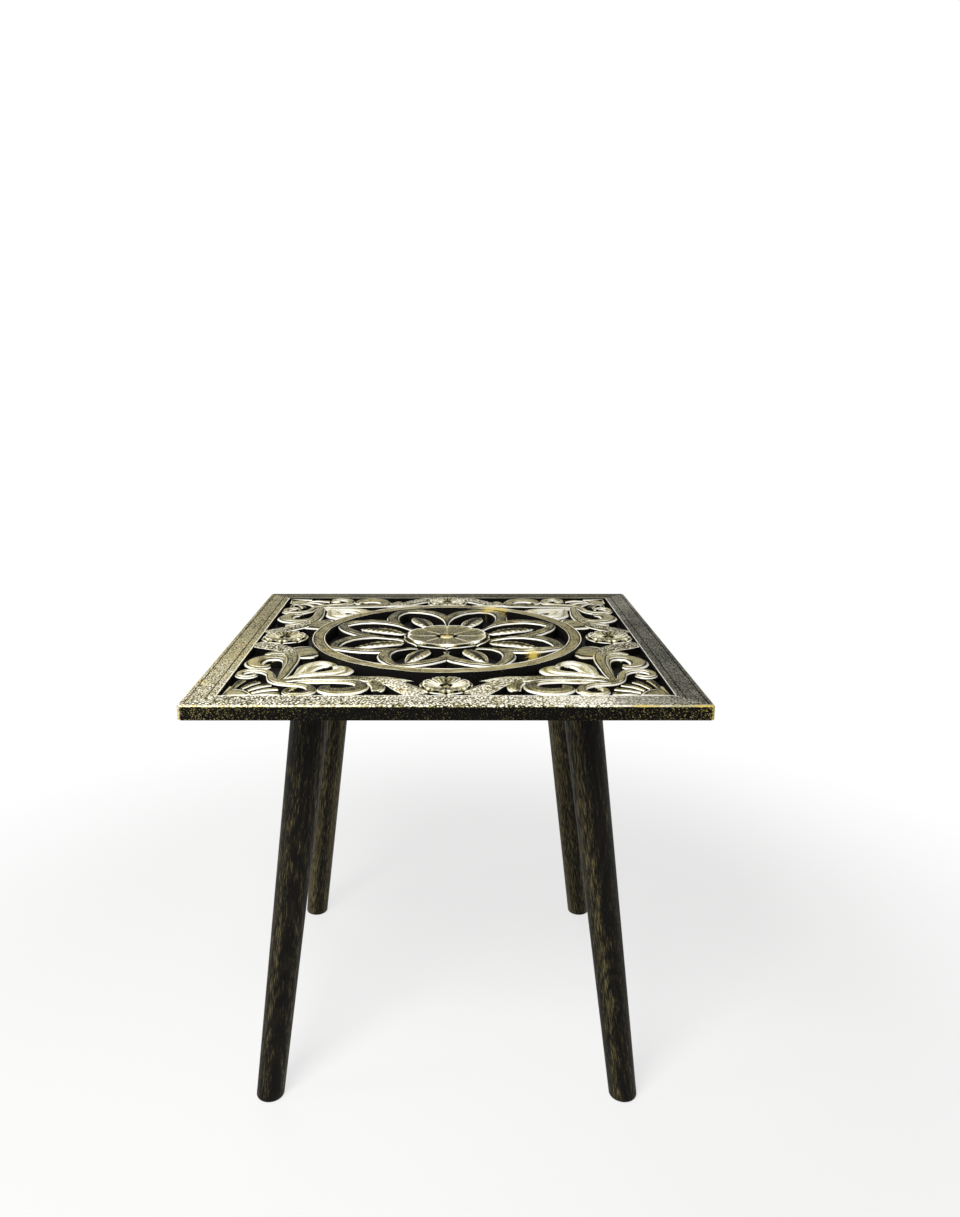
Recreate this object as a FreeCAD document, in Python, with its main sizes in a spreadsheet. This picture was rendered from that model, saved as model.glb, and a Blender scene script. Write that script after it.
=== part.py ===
import FreeCAD, Part
import Sketcher
import math
import os

# Accent table: a square carved top on four splayed turned legs.
# Millimetres. The floor is z = 0, z points up, and the front of the table is -y.

Vector = FreeCAD.Vector
UP = Vector(0, 0, 1)

SIZES = (
    # Whole table
    ("top_side", 450),
    ("table_height", 416),
    ("top_thick", 13),
    # Border rails
    ("rail_width", 28),
    ("corner_round", 5),
    ("rail_round", 2.5),
    ("bead_width", 4.5),
    ("lip_width", 7),
    ("groove_width", 1.4),
    ("groove_depth", 1),
    ("edge_land", 8),
    # Ground board
    ("board_thick", 4),
    ("board_fit", 0.1),
    # Carving: depths above the ground board, and fits between pieces
    ("medallion_depth", 11.4),
    ("corner_depth", 10.8),
    ("fan_depth", 8),
    ("rosette_depth", 10),
    ("rosette_button_depth", 11.6),
    ("carve_fit", 0.2),
    # Medallion
    ("ring_gap", 5),
    ("ring_width", 14),
    ("petal_tuck", 19),
    ("petal_overlap", 4.7),
    ("petal_bite", 2),
    ("petal_seam", 2.2),
    ("petal_base_border", 3),
    ("petal_tip_border", 12),
    ("moat_width", 9.5),
    ("moat_bite", 2),
    ("moat_floor", 3),
    ("spear_setback", 0.8),
    ("spear_gap", 14),
    ("spear_side_gap", 14.8),
    # Centre rosette and side rosettes
    ("rosette_radius", 46),
    ("rosette_lobe_radius", 17),
    ("rosette_button_radius", 8.5),
    ("side_rosette_radius", 24.5),
    ("side_lobe_radius", 9),
    ("side_button_radius", 4.5),
    ("side_rosette_edge", 2),
    ("button_round", 1.5),
    # Corner fans
    ("fan_gap", 5.6),
    ("fan_hub_radius", 27),
    ("fan_rib_half", 5.4),
    ("fan_rib_root_half", 2.6),
    ("fan_rib_bite", 3),
    # Legs
    ("leg_inset", 100.4),
    ("leg_splay", 47.6),
    ("leg_top_diameter", 36),
    ("leg_foot_diameter", 26),
    ("foot_round", 2.5),
    # Leg blocks and fasteners
    ("block_side", 58),
    ("block_drop", 20),
    ("bolt_diameter", 8),
    ("bolt_leg_length", 38),
    ("bolt_nut_length", 11),
    ("bolt_point", 6),
    ("insert_diameter", 12),
    ("insert_length", 12),
    ("bore_fit", 0.1),
    ("bore_spare", 1),
    ("screw_diameter", 4),
    ("screw_head_diameter", 8),
    ("screw_length", 14),
    ("screw_point", 3),
    ("screw_pitch", 38),
    # One overrun serves all cuts
    ("overrun", 5),
)

PETALS = 8
SIDE_LOBES = 8
FAN_RIBS = 5
CORNERS = 4
SCREWS_PER_BLOCK = 4
SAMPLES_PER_SPAN = 4

doc = FreeCAD.newDocument("accent_table")
sheet = doc.addObject("Spreadsheet::Sheet", "sizes")
for line, (alias, number) in enumerate(SIZES, start=1):
    sheet.set("A%d" % line, alias)
    sheet.set("B%d" % line, str(number))
    sheet.setAlias("B%d" % line, alias)
doc.recompute()

nodes = []


def size(alias):
    return float(sheet.get(alias))


def bound(text):
    """Sizes in an expression are written as #name, which is a cell of the sheet."""
    return text.replace("#", "sizes.")


def new_body(label):
    body = doc.addObject("PartDesign::Body", "body_" + label)
    body.Label = label
    return body


def new_sketch(body, role, name):
    sketch = body.newObject("Sketcher::SketchObject", name)
    planes = [item for item in body.Origin.OriginFeatures if item.Role == role]
    sketch.AttachmentSupport = [(planes[0], "")]
    sketch.MapMode = "FlatFace"
    return sketch


def pin_point(sketch, edge, end, place):
    """Hold one end of an edge at a pair of expressions measured from the sketch's origin."""
    axes = (("DistanceX", -2), ("DistanceY", -1))
    for (kind, axis), text in zip(axes, place):
        if text == "0":
            sketch.addConstraint(Sketcher.Constraint("PointOnObject", edge, end, axis))
            continue
        now = float(sketch.evalExpression(bound(text)))
        index = sketch.addConstraint(Sketcher.Constraint(kind, -1, 1, edge, end, now))
        sketch.setExpression("Constraints[%d]" % index, bound(text))


def now_at(sketch, place):
    return Vector(*[float(sketch.evalExpression(bound(text))) for text in place], 0)


def add_polygon(sketch, places):
    points = [now_at(sketch, place) for place in places]
    first = sketch.GeometryCount
    count = len(points)
    for index in range(count):
        ahead = (index + 1) % count
        sketch.addGeometry(Part.LineSegment(points[index], points[ahead]))
    for index in range(count):
        ahead = (index + 1) % count
        joined = Sketcher.Constraint("Coincident", first + index, 2, first + ahead, 1)
        sketch.addConstraint(joined)
    for index in range(count):
        pin_point(sketch, first + index, 1, places[index])


def add_circle(sketch, place, radius):
    now = float(sketch.evalExpression(bound(radius)))
    edge = sketch.addGeometry(Part.Circle(now_at(sketch, place), UP, now))
    index = sketch.addConstraint(Sketcher.Constraint("Radius", edge, now))
    sketch.setExpression("Constraints[%d]" % index, bound(radius))
    if place == ("0", "0"):
        sketch.addConstraint(Sketcher.Constraint("Coincident", edge, 3, -1, 1))
    else:
        pin_point(sketch, edge, 3, place)


def add_almond(sketch, base, tip, half):
    """A pointed almond on the sketch's x axis: two arcs that meet at its ends."""
    start = now_at(sketch, (base, "0"))
    end = now_at(sketch, (tip, "0"))
    rise = Vector(0, float(sketch.evalExpression(bound(half))), 0)
    middle = (start + end) / 2
    radius = "((%s - %s) ^ 2 / 4 + (%s) ^ 2) / (2 * (%s))" % (tip, base, half, half)
    upper = sketch.addGeometry(Part.Arc(end, middle + rise, start))
    lower = sketch.addGeometry(Part.Arc(start, middle - rise, end))
    sketch.addConstraint(Sketcher.Constraint("Coincident", upper, 2, lower, 1))
    sketch.addConstraint(Sketcher.Constraint("Coincident", lower, 2, upper, 1))
    pin_point(sketch, upper, 1, (tip, "0"))
    pin_point(sketch, upper, 2, (base, "0"))
    now = float(sketch.evalExpression(bound(radius)))
    for edge in (upper, lower):
        index = sketch.addConstraint(Sketcher.Constraint("Radius", edge, now))
        sketch.setExpression("Constraints[%d]" % index, bound(radius))


def add_pad(body, sketch, name, length, upward=True):
    pad = body.newObject("PartDesign::Pad", name)
    pad.Profile = sketch
    pad.setExpression("Length", bound(length))
    pad.Reversed = not upward
    body.Tip = pad
    doc.recompute()
    return pad


def add_cut(body, sketch, name, length="", upward=True):
    """A Pocket, upward or downward from its sketch, through all when no length is given."""
    before = body.Shape.Volume
    cut = body.newObject("PartDesign::Pocket", name)
    cut.Profile = sketch
    cut.Reversed = upward
    if length:
        cut.setExpression("Length", bound(length))
    else:
        cut.Type = "ThroughAll"
    body.Tip = cut
    doc.recompute()
    if not body.Shape.Volume < before:
        raise RuntimeError("%s cuts nothing" % name)
    return cut


def add_ring_of(body, features, name, count, spread=""):
    """Repeat features about the body's z axis, round the full turn unless a spread is given."""
    pattern = body.newObject("PartDesign::PolarPattern", name)
    pattern.Originals = features
    axes = [item for item in body.Origin.OriginFeatures if item.Role == "Z_Axis"]
    pattern.Axis = (axes[0], [""])
    if spread:
        pattern.setExpression("Angle", spread)
    pattern.Occurrences = count
    body.Tip = pattern
    doc.recompute()
    return pattern


def add_revolution(body, sketch, name):
    turned = body.newObject("PartDesign::Revolution", name)
    turned.Profile = sketch
    turned.ReferenceAxis = (sketch, ["V_Axis"])
    body.Tip = turned
    doc.recompute()
    return turned


def round_edges(body, base, name, radius, wanted):
    picked = []
    for index, edge in enumerate(base.Shape.Edges, start=1):
        if wanted(edge):
            picked.append("Edge%d" % index)
    fillet = body.newObject("PartDesign::Fillet", name)
    fillet.Base = (base, picked)
    fillet.setExpression("Radius", bound(radius))
    body.Tip = fillet
    doc.recompute()
    return fillet


def turned_about_z(degrees):
    return FreeCAD.Rotation(UP, degrees)


def keep(thing, label):
    thing.Label = label
    nodes.append(thing)


def add_shape(label, shape, placement):
    feature = doc.addObject("Part::Feature", "shape_" + label)
    feature.Shape = shape
    feature.Placement = placement
    keep(feature, label)


# Heights and places shared by several pieces
table_height = size("table_height")
underside = table_height - size("top_thick")
ground = underside + size("board_thick")
opening_half = size("top_side") / 2 - size("rail_width")
side_rosette_place = opening_half - size("side_rosette_edge") - size("side_rosette_radius")

# The ring fits between the side rosettes
OPENING = "(#top_side / 2 - #rail_width)"
RING_OUTER = "(%s - #side_rosette_edge - 2 * #side_rosette_radius - #ring_gap)" % OPENING
RING_INNER = "(%s - #ring_width)" % RING_OUTER
ring_outer = side_rosette_place - size("side_rosette_radius") - size("ring_gap")

# Each leg stands in from the table's edge and leans outward along its own diagonal
LEG_TOP = "(#top_side / 2 - #leg_inset)"
leg_top_place = size("top_side") / 2 - size("leg_inset")
leg_foot_place = leg_top_place + size("leg_splay")
leg_top_reach = math.hypot(leg_top_place, leg_top_place)
leg_foot_reach = math.hypot(leg_foot_place, leg_foot_place)
lean = math.degrees(math.atan2(leg_foot_reach - leg_top_reach, underside))
LEAN_TANGENT = "sqrt(2) * #leg_splay / (#table_height - #top_thick)"
LEAN_COSINE = "cos(atan(%s))" % LEAN_TANGENT
LEAN_SINE = "sin(atan(%s))" % LEAN_TANGENT
BLOCK_CENTRE = "#block_drop * " + LEAN_SINE

quarters = ("front_left", "front_right", "back_right", "back_left")
sides = ("front", "right", "back", "left")


def quarter_turn(index):
    return turned_about_z(360 * index / CORNERS)


def toward_corner(index):
    """The turn that points x outward along the diagonal of that corner."""
    return turned_about_z(180 + 360 * (index + 1 / 2) / CORNERS)


def along_leg(index):
    """The frame of a leg: z runs up its axis from the floor, x leans outward."""
    turn = toward_corner(index) * FreeCAD.Rotation(Vector(0, 1, 0), -lean)
    foot = toward_corner(index).multVec(Vector(leg_foot_reach, 0, 0))
    return FreeCAD.Placement(foot, turn)


def at_leg_top(index):
    """An upright frame where a leg's axis meets the underside of the top, x outward."""
    turn = toward_corner(index)
    return FreeCAD.Placement(turn.multVec(Vector(leg_top_reach, 0, underside)), turn)


def on_ground(index=0, reach=0):
    """A frame on the ground board, turned by quarters, reach toward its own -y."""
    turn = quarter_turn(index)
    return FreeCAD.Placement(turn.multVec(Vector(0, -reach, ground)), turn)


# Ground board, with countersunk holes for the block screws
board = new_body("ground_board")
board_sketch = new_sketch(board, "XY_Plane", "board_outline")
edge_text = "#top_side / 2 - #edge_land - #board_fit"
add_polygon(board_sketch, (
    ("-(%s)" % edge_text, "-(%s)" % edge_text),
    (edge_text, "-(%s)" % edge_text),
    (edge_text, edge_text),
    ("-(%s)" % edge_text, edge_text),
))
add_pad(board, board_sketch, "board_pad", "#board_thick")
hole_sketch = new_sketch(board, "XY_Plane", "board_holes")
block_place = "(%s + %s / sqrt(2))" % (LEG_TOP, BLOCK_CENTRE)
for across in ("+", "-"):
    for along in ("+", "-"):
        hole_at = (
            "%s %s #screw_pitch / 2" % (block_place, across),
            "%s %s #screw_pitch / 2" % (block_place, along),
        )
        add_circle(hole_sketch, hole_at, "#screw_diameter / 2 + #bore_fit")
hole_cut = add_cut(board, hole_sketch, "board_hole_cut")
hole_ring = add_ring_of(board, [hole_cut], "board_hole_ring", CORNERS)


def on_board_top(edge):
    round_edge = isinstance(edge.Curve, Part.Circle)
    return round_edge and abs(edge.CenterOfMass.z - size("board_thick")) < Part.Precision.confusion()


sinks = board.newObject("PartDesign::Chamfer", "board_sinks")
rims = [
    "Edge%d" % index
    for index, edge in enumerate(hole_ring.Shape.Edges, start=1)
    if on_board_top(edge)
]
sinks.Base = (hole_ring, rims)
sinks.setExpression("Size", bound("(#screw_head_diameter - #screw_diameter) / 2"))
board.Tip = sinks
board.Placement = FreeCAD.Placement(Vector(0, 0, underside), FreeCAD.Rotation())
keep(board, "ground_board")

# Border rails: one profile with a rounded edge, two scored lines and a rebate for the board
OUTER = "-#top_side / 2"
INNER = "-(#top_side / 2 - #rail_width)"
BEAD = OUTER + " + #bead_width"
LIP = INNER + " - #lip_width"
LAND = "-(#top_side / 2 - #edge_land)"
LOW = "#top_thick - #groove_depth"
PROFILE = (
    (OUTER, "0"),
    (OUTER, "#top_thick"),
    (BEAD, "#top_thick"),
    (BEAD + " + #groove_width / 2", LOW),
    (BEAD + " + #groove_width", "#top_thick"),
    (LIP + " - #groove_width", "#top_thick"),
    (LIP + " - #groove_width / 2", LOW),
    (LIP, "#top_thick"),
    (INNER, "#top_thick"),
    (INNER, "#board_thick"),
    (LAND, "#board_thick"),
    (LAND, "0"),
)
NEAR = "(#top_side / 2 - #rail_width - #overrun)"
FAR = "(#top_side / 2 + #overrun)"


def on_outer_arris(edge):
    slack = size("bead_width") / 2
    middle = edge.CenterOfMass
    at_edge = abs(middle.y + size("top_side") / 2) < slack
    at_corner = isinstance(edge.Curve, Part.Circle)
    return (at_edge or at_corner) and abs(middle.z - size("top_thick")) < slack


def add_corner_waste(sketch, hand):
    """What is sawn off outside a rounded corner of the top: four straight sides and an arc."""
    edge_text = "(#top_side / 2)"
    near_text = "(#top_side / 2 - #corner_round)"
    places = (
        (hand + near_text, "-" + edge_text),
        (hand + near_text, "-" + FAR),
        (hand + FAR, "-" + FAR),
        (hand + FAR, "-" + near_text),
        (hand + edge_text, "-" + near_text),
    )
    points = [now_at(sketch, place) for place in places]
    first = sketch.GeometryCount
    last = len(places) - 2
    for index in range(last + 1):
        sketch.addGeometry(Part.LineSegment(points[index], points[index + 1]))
    centre = now_at(sketch, (hand + near_text, "-" + near_text))
    corner = now_at(sketch, (hand + edge_text, "-" + edge_text))
    middle = centre + (corner - centre).normalize() * size("corner_round")
    ends = (points[0], points[-1]) if not hand else (points[-1], points[0])
    arc = sketch.addGeometry(Part.Arc(ends[0], middle, ends[1]))
    for index in range(last):
        sketch.addConstraint(Sketcher.Constraint("Coincident", first + index, 2, first + index + 1, 1))
    arc_ends = (1, 2) if not hand else (2, 1)
    sketch.addConstraint(Sketcher.Constraint("Coincident", arc, arc_ends[0], first, 1))
    sketch.addConstraint(Sketcher.Constraint("Coincident", arc, arc_ends[1], first + last, 2))
    for index in range(last + 1):
        pin_point(sketch, first + index, 1, places[index])
    pin_point(sketch, first + last, 2, places[-1])
    radius = sketch.addConstraint(Sketcher.Constraint("Radius", arc, size("corner_round")))
    sketch.setExpression("Constraints[%d]" % radius, bound("#corner_round"))


for index, side in enumerate(sides):
    rail = new_body("rail_" + side)
    profile = new_sketch(rail, "YZ_Plane", "profile_" + side)
    add_polygon(profile, PROFILE)
    bar = add_pad(rail, profile, "bar_" + side, "#top_side + 2 * #overrun")
    bar.Midplane = True
    doc.recompute()
    mitre = new_sketch(rail, "XY_Plane", "mitre_" + side)
    for hand in ("", "-"):
        add_polygon(mitre, (
            (hand + NEAR, "-" + NEAR),
            (hand + FAR, "-" + FAR),
            (hand + FAR, "-" + NEAR),
        ))
    add_cut(rail, mitre, "mitre_cut_" + side)
    waste = new_sketch(rail, "XY_Plane", "corner_" + side)
    for hand in ("", "-"):
        add_corner_waste(waste, hand)
    rounded = add_cut(rail, waste, "corner_cut_" + side)
    round_edges(rail, rounded, "arris_" + side, "#rail_round", on_outer_arris)
    rail.Placement = FreeCAD.Placement(Vector(0, 0, underside), quarter_turn(index))
    keep(rail, "rail_" + side)

# Medallion: a ring, eight petals that run together along their seams and bite into the ring, an opening
# in each petal, a low moat round the rosette's seat, and a spear leaf that rises from it in each opening
medallion = new_body("medallion")
ring_sketch = new_sketch(medallion, "XY_Plane", "ring_outline")
add_circle(ring_sketch, ("0", "0"), RING_OUTER)
add_circle(ring_sketch, ("0", "0"), RING_INNER)
add_pad(medallion, ring_sketch, "ring", "#medallion_depth")
half_turn_tangent = math.tan(math.pi / PETALS)
PETAL_BASE = "(#rosette_radius - #petal_tuck)"
PETAL_TIP = "(%s + #petal_bite)" % RING_INNER
PETAL_HALF = "((%s + %s) / 2 * %r + #petal_overlap)" % (PETAL_BASE, PETAL_TIP, half_turn_tangent)
HOLE_BASE = "(%s + #petal_base_border)" % PETAL_BASE
HOLE_TIP = "(%s - #petal_tip_border)" % PETAL_TIP
# The arcs of the openings stay a petal seam away from the lines between the petals
half_turn_sine = math.sin(math.pi / PETALS)
half_turn_cosine = math.cos(math.pi / PETALS)
ROOM = "((%s + %s) / 2 * %r - #petal_seam)" % (HOLE_BASE, HOLE_TIP, half_turn_sine)
SPAN = "((%s - %s) / 2 * %r)" % (HOLE_TIP, HOLE_BASE, half_turn_sine)
HOLE_HALF = "((%s + sqrt(%s ^ 2 - %s ^ 2)) / (1 + %r))" % (ROOM, ROOM, SPAN, half_turn_cosine)
SEAT = "(#rosette_radius + #carve_fit)"
MOAT = "(#rosette_radius + #moat_width)"
SPEAR_BASE = "(%s + #spear_setback)" % SEAT
SPEAR_TIP = "(%s - #spear_gap)" % HOLE_TIP
SPEAR_HALF = "(%s - #spear_side_gap)" % HOLE_HALF
first_petal = FreeCAD.Placement(Vector(), turned_about_z(180 / PETALS))
petal_sketch = new_sketch(medallion, "XY_Plane", "petal_outline")
add_almond(petal_sketch, PETAL_BASE, PETAL_TIP, PETAL_HALF)
petal_sketch.AttachmentOffset = first_petal
petal = add_pad(medallion, petal_sketch, "petal", "#medallion_depth")
add_ring_of(medallion, [petal], "petals", PETALS)
opening_sketch = new_sketch(medallion, "XY_Plane", "opening_outline")
add_almond(opening_sketch, HOLE_BASE, HOLE_TIP, HOLE_HALF)
opening_sketch.AttachmentOffset = first_petal
opening = add_cut(medallion, opening_sketch, "petal_opening")
add_ring_of(medallion, [opening], "petal_openings", PETALS)
seat_sketch = new_sketch(medallion, "XY_Plane", "rosette_seat")
add_circle(seat_sketch, ("0", "0"), MOAT)
add_cut(medallion, seat_sketch, "rosette_seat_cut")
moat_sketch = new_sketch(medallion, "XY_Plane", "moat_outline")
add_circle(moat_sketch, ("0", "0"), MOAT + " + #moat_bite")
add_circle(moat_sketch, ("0", "0"), SEAT)
add_pad(medallion, moat_sketch, "moat", "#moat_floor")
spear_sketch = new_sketch(medallion, "XY_Plane", "spear_outline")
add_almond(spear_sketch, SPEAR_BASE, SPEAR_TIP, SPEAR_HALF)
spear_sketch.AttachmentOffset = first_petal
spear = add_pad(medallion, spear_sketch, "spear", "#medallion_depth")
add_ring_of(medallion, [spear], "spears", PETALS)
medallion.Placement = on_ground()
keep(medallion, "medallion")


def add_rosette(label, lobes, radius, lobe, button, placement, first_turn=0):
    """A scalloped flower: a disc, a ring of round lobes and a button with a rounded rim."""
    flower = new_body(label)
    disc = new_sketch(flower, "XY_Plane", label + "_disc_outline")
    add_circle(disc, ("0", "0"), "%s - %s" % (radius, lobe))
    add_pad(flower, disc, label + "_disc", "#rosette_depth")
    lobe_sketch = new_sketch(flower, "XY_Plane", label + "_lobe_outline")
    add_circle(lobe_sketch, ("%s - %s" % (radius, lobe), "0"), lobe)
    lobe_sketch.AttachmentOffset = FreeCAD.Placement(Vector(), turned_about_z(first_turn))
    petal_pad = add_pad(flower, lobe_sketch, label + "_lobe", "#rosette_depth")
    add_ring_of(flower, [petal_pad], label + "_lobes", lobes)
    button_sketch = new_sketch(flower, "XY_Plane", label + "_button_outline")
    add_circle(button_sketch, ("0", "0"), button)
    knob = add_pad(flower, button_sketch, label + "_button", "#rosette_button_depth")
    crown = size("rosette_button_depth")
    gap = size("button_round") / 2
    round_edges(
        flower, knob, label + "_crown", "#button_round",
        lambda edge: abs(edge.CenterOfMass.z - crown) < gap,
    )
    flower.Placement = placement
    keep(flower, label)


add_rosette(
    "rosette_centre", PETALS, "#rosette_radius", "#rosette_lobe_radius",
    "#rosette_button_radius", on_ground(), 180 / PETALS,
)
for index, side in enumerate(sides):
    add_rosette(
        "rosette_" + side, SIDE_LOBES, "#side_rosette_radius", "#side_lobe_radius",
        "#side_button_radius", on_ground(index, side_rosette_place),
    )

# Straps of the corner scrolls. Each strap is a row of points along its spine: the distances from the two
# sides of the frame's corner and the half width there, as shares of half the opening.
acanthus_shares = (
    (0.221, 0.221, 0.018), (0.302, 0.240, 0.023), (0.402, 0.246, 0.028), (0.523, 0.248, 0.034),
    (0.633, 0.230, 0.042), (0.742, 0.190, 0.047), (0.812, 0.112, 0.060), (0.892, 0.012, 0.064),
)
slim_leaf_shares = (
    (0.600, 0.244, 0.028), (0.690, 0.240, 0.030), (0.772, 0.230, 0.022), (0.850, 0.214, 0),
)
broad_leaf_shares = (
    (0.640, 0.185, 0.040), (0.668, 0.225, 0.095), (0.695, 0.270, 0.130), (0.712, 0.310, 0.120),
    (0.720, 0.345, 0.070),
)
hook_leaf_shares = (
    (0.617, 0.238, 0.024), (0.668, 0.192, 0.032), (0.694, 0.135, 0.036), (0.687, 0.082, 0.028),
)
c_scroll_shares = (
    (0.291, 0.232, 0.015), (0.392, 0.224, 0.020), (0.492, 0.226, 0.024), (0.578, 0.208, 0.029),
    (0.618, 0.155, 0.036), (0.598, 0.092, 0.045), (0.540, 0.062, 0.053), (0.480, 0.074, 0.046),
    (0.450, 0.116, 0.032), (0.476, 0.148, 0.022),
)
snail_shares = (
    (0.212, 0.224, 0.026), (0.248, 0.198, 0.025), (0.292, 0.184, 0.024), (0.345, 0.170, 0.024),
    (0.388, 0.131, 0.026), (0.397, 0.075, 0.026), (0.362, 0.033, 0.024), (0.312, 0.033, 0.021),
    (0.286, 0.070, 0.018), (0.307, 0.106, 0.015), (0.337, 0.095, 0.013),
)
lobe_shares = (
    (0.236, 0.236, 0.020), (0.302, 0.296, 0.028), (0.385, 0.322, 0.046), (0.460, 0.342, 0.060),
    (0.506, 0.388, 0.059), (0.490, 0.431, 0.047), (0.452, 0.442, 0.032),
)
bud_shares = (
    (0.231, 0.231, 0.023), (0.302, 0.302, 0.030), (0.362, 0.362, 0.025), (0.412, 0.412, 0),
)

# Corner fans: a quarter hub in the corner of the frame with ribs that spread from it
RIB_ROOT = "(#fan_hub_radius - #fan_rib_bite)"
root_share = acanthus_shares[0][0] * math.sqrt(2) - acanthus_shares[0][2]
FAN_RADIUS = "(%s * %r - #fan_gap)" % (OPENING, root_share)
for index, corner in enumerate(quarters):
    fan = new_body("fan_" + corner)
    hub = new_sketch(fan, "XY_Plane", "hub_" + corner)
    reach = size("fan_hub_radius")
    hub.addGeometry(Part.LineSegment(Vector(), Vector(reach, 0, 0)))
    hub.addGeometry(Part.Arc(
        Vector(reach, 0, 0),
        turned_about_z(45).multVec(Vector(reach, 0, 0)),
        Vector(0, reach, 0),
    ))
    hub.addGeometry(Part.LineSegment(Vector(0, reach, 0), Vector()))
    for edge in range(hub.GeometryCount):
        ahead = (edge + 1) % hub.GeometryCount
        hub.addConstraint(Sketcher.Constraint("Coincident", edge, 2, ahead, 1))
    hub.addConstraint(Sketcher.Constraint("Coincident", 0, 1, -1, 1))
    pin_point(hub, 0, 2, ("#fan_hub_radius", "0"))
    hub.addConstraint(Sketcher.Constraint("PointOnObject", 2, 1, -2))
    hub.addConstraint(Sketcher.Constraint("Coincident", 1, 3, -1, 1))
    add_pad(fan, hub, "hub_pad_" + corner, "#fan_depth")
    rib_sketch = new_sketch(fan, "XY_Plane", "rib_" + corner)
    add_polygon(rib_sketch, (
        (RIB_ROOT, "-#fan_rib_root_half"),
        (FAN_RADIUS, "-#fan_rib_half"),
        (FAN_RADIUS, "#fan_rib_half"),
        (RIB_ROOT, "#fan_rib_root_half"),
    ))
    first_rib = turned_about_z(90 / FAN_RIBS / 2)
    rib_sketch.AttachmentOffset = FreeCAD.Placement(Vector(), first_rib)
    rib = add_pad(fan, rib_sketch, "rib_pad_" + corner, "#fan_depth")
    add_ring_of(fan, [rib], "ribs_" + corner, FAN_RIBS, "90 * (1 - 1 / %d)" % FAN_RIBS)
    turn = quarter_turn(index)
    inset = opening_half - size("carve_fit")
    fan.Placement = FreeCAD.Placement(turn.multVec(Vector(-inset, -inset, ground)), turn)
    keep(fan, "fan_" + corner)


# Corner scrolls: straps swept along their spines and joined into one piece
def curve_through(points):
    curve = Part.BSplineCurve()
    curve.interpolate(points)
    return curve


def strap_solid(shares, mirrored):
    """A strap of changing width: two side curves, a straight root and a round or pointed end."""
    rows = []
    for first, second, half in shares:
        if mirrored:
            first, second = second, first
        rows.append(Vector(first, second, half) * opening_half)
    spine = curve_through(rows)
    spans = SAMPLES_PER_SPAN * (len(rows) - 1)
    left = []
    right = []
    for index in range(spans + 1):
        knot = spine.FirstParameter + (spine.LastParameter - spine.FirstParameter) * index / spans
        here = spine.value(knot)
        ahead = spine.getD1(knot)[1]
        ahead.z = 0
        ahead.normalize()
        across = UP.cross(ahead)
        middle = Vector(here.x, here.y, 0)
        left.append(middle + across * here.z)
        right.append(middle - across * here.z)
    pointed = shares[-1][2] == 0
    if pointed:
        right[-1] = left[-1]
    edges = [Part.LineSegment(right[0], left[0]).toShape(), curve_through(left).toShape()]
    if not pointed:
        edges.append(Part.Arc(left[-1], middle + ahead * here.z, right[-1]).toShape())
    edges.append(curve_through(list(reversed(right))).toShape())
    face = Part.Face(Part.Wire(edges))
    return face.extrude(UP * size("corner_depth"))


def scroll_solid(broad_first):
    """One corner's scrolls: alike on both sides but for a broad leaf on one and a slim leaf on the other."""
    straps = [strap_solid(bud_shares, False)]
    straps.append(strap_solid(broad_leaf_shares, not broad_first))
    straps.append(strap_solid(slim_leaf_shares, broad_first))
    for shares in (acanthus_shares, hook_leaf_shares, c_scroll_shares, snail_shares, lobe_shares):
        for mirrored in (False, True):
            straps.append(strap_solid(shares, mirrored))
    scrolls = straps[0].multiFuse(straps[1:])
    scrolls.translate(Vector(-opening_half, -opening_half, 0))
    field = opening_half - size("carve_fit")
    scrolls = scrolls.common(Part.makeBox(
        2 * field, 2 * field, size("corner_depth"), Vector(-field, -field, 0),
    ))
    clear_of_ring = ring_outer + size("carve_fit")
    clear_of_rosette = size("side_rosette_radius") + size("carve_fit")
    scrolls = scrolls.cut(Part.makeCylinder(clear_of_ring, size("corner_depth")))
    for place in (Vector(0, -side_rosette_place, 0), Vector(-side_rosette_place, 0, 0)):
        scrolls = scrolls.cut(Part.makeCylinder(clear_of_rosette, size("corner_depth"), place))
    return scrolls.removeSplitter()


# The broad leaves lie along the left and right of the table, so the corners take the two hands in turn
scroll_hands = (scroll_solid(False), scroll_solid(True))
for index, corner in enumerate(quarters):
    scrolls = scroll_hands[index % len(scroll_hands)]
    add_shape("scrolls_" + corner, scrolls.Solids[0], on_ground(index))

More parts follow.
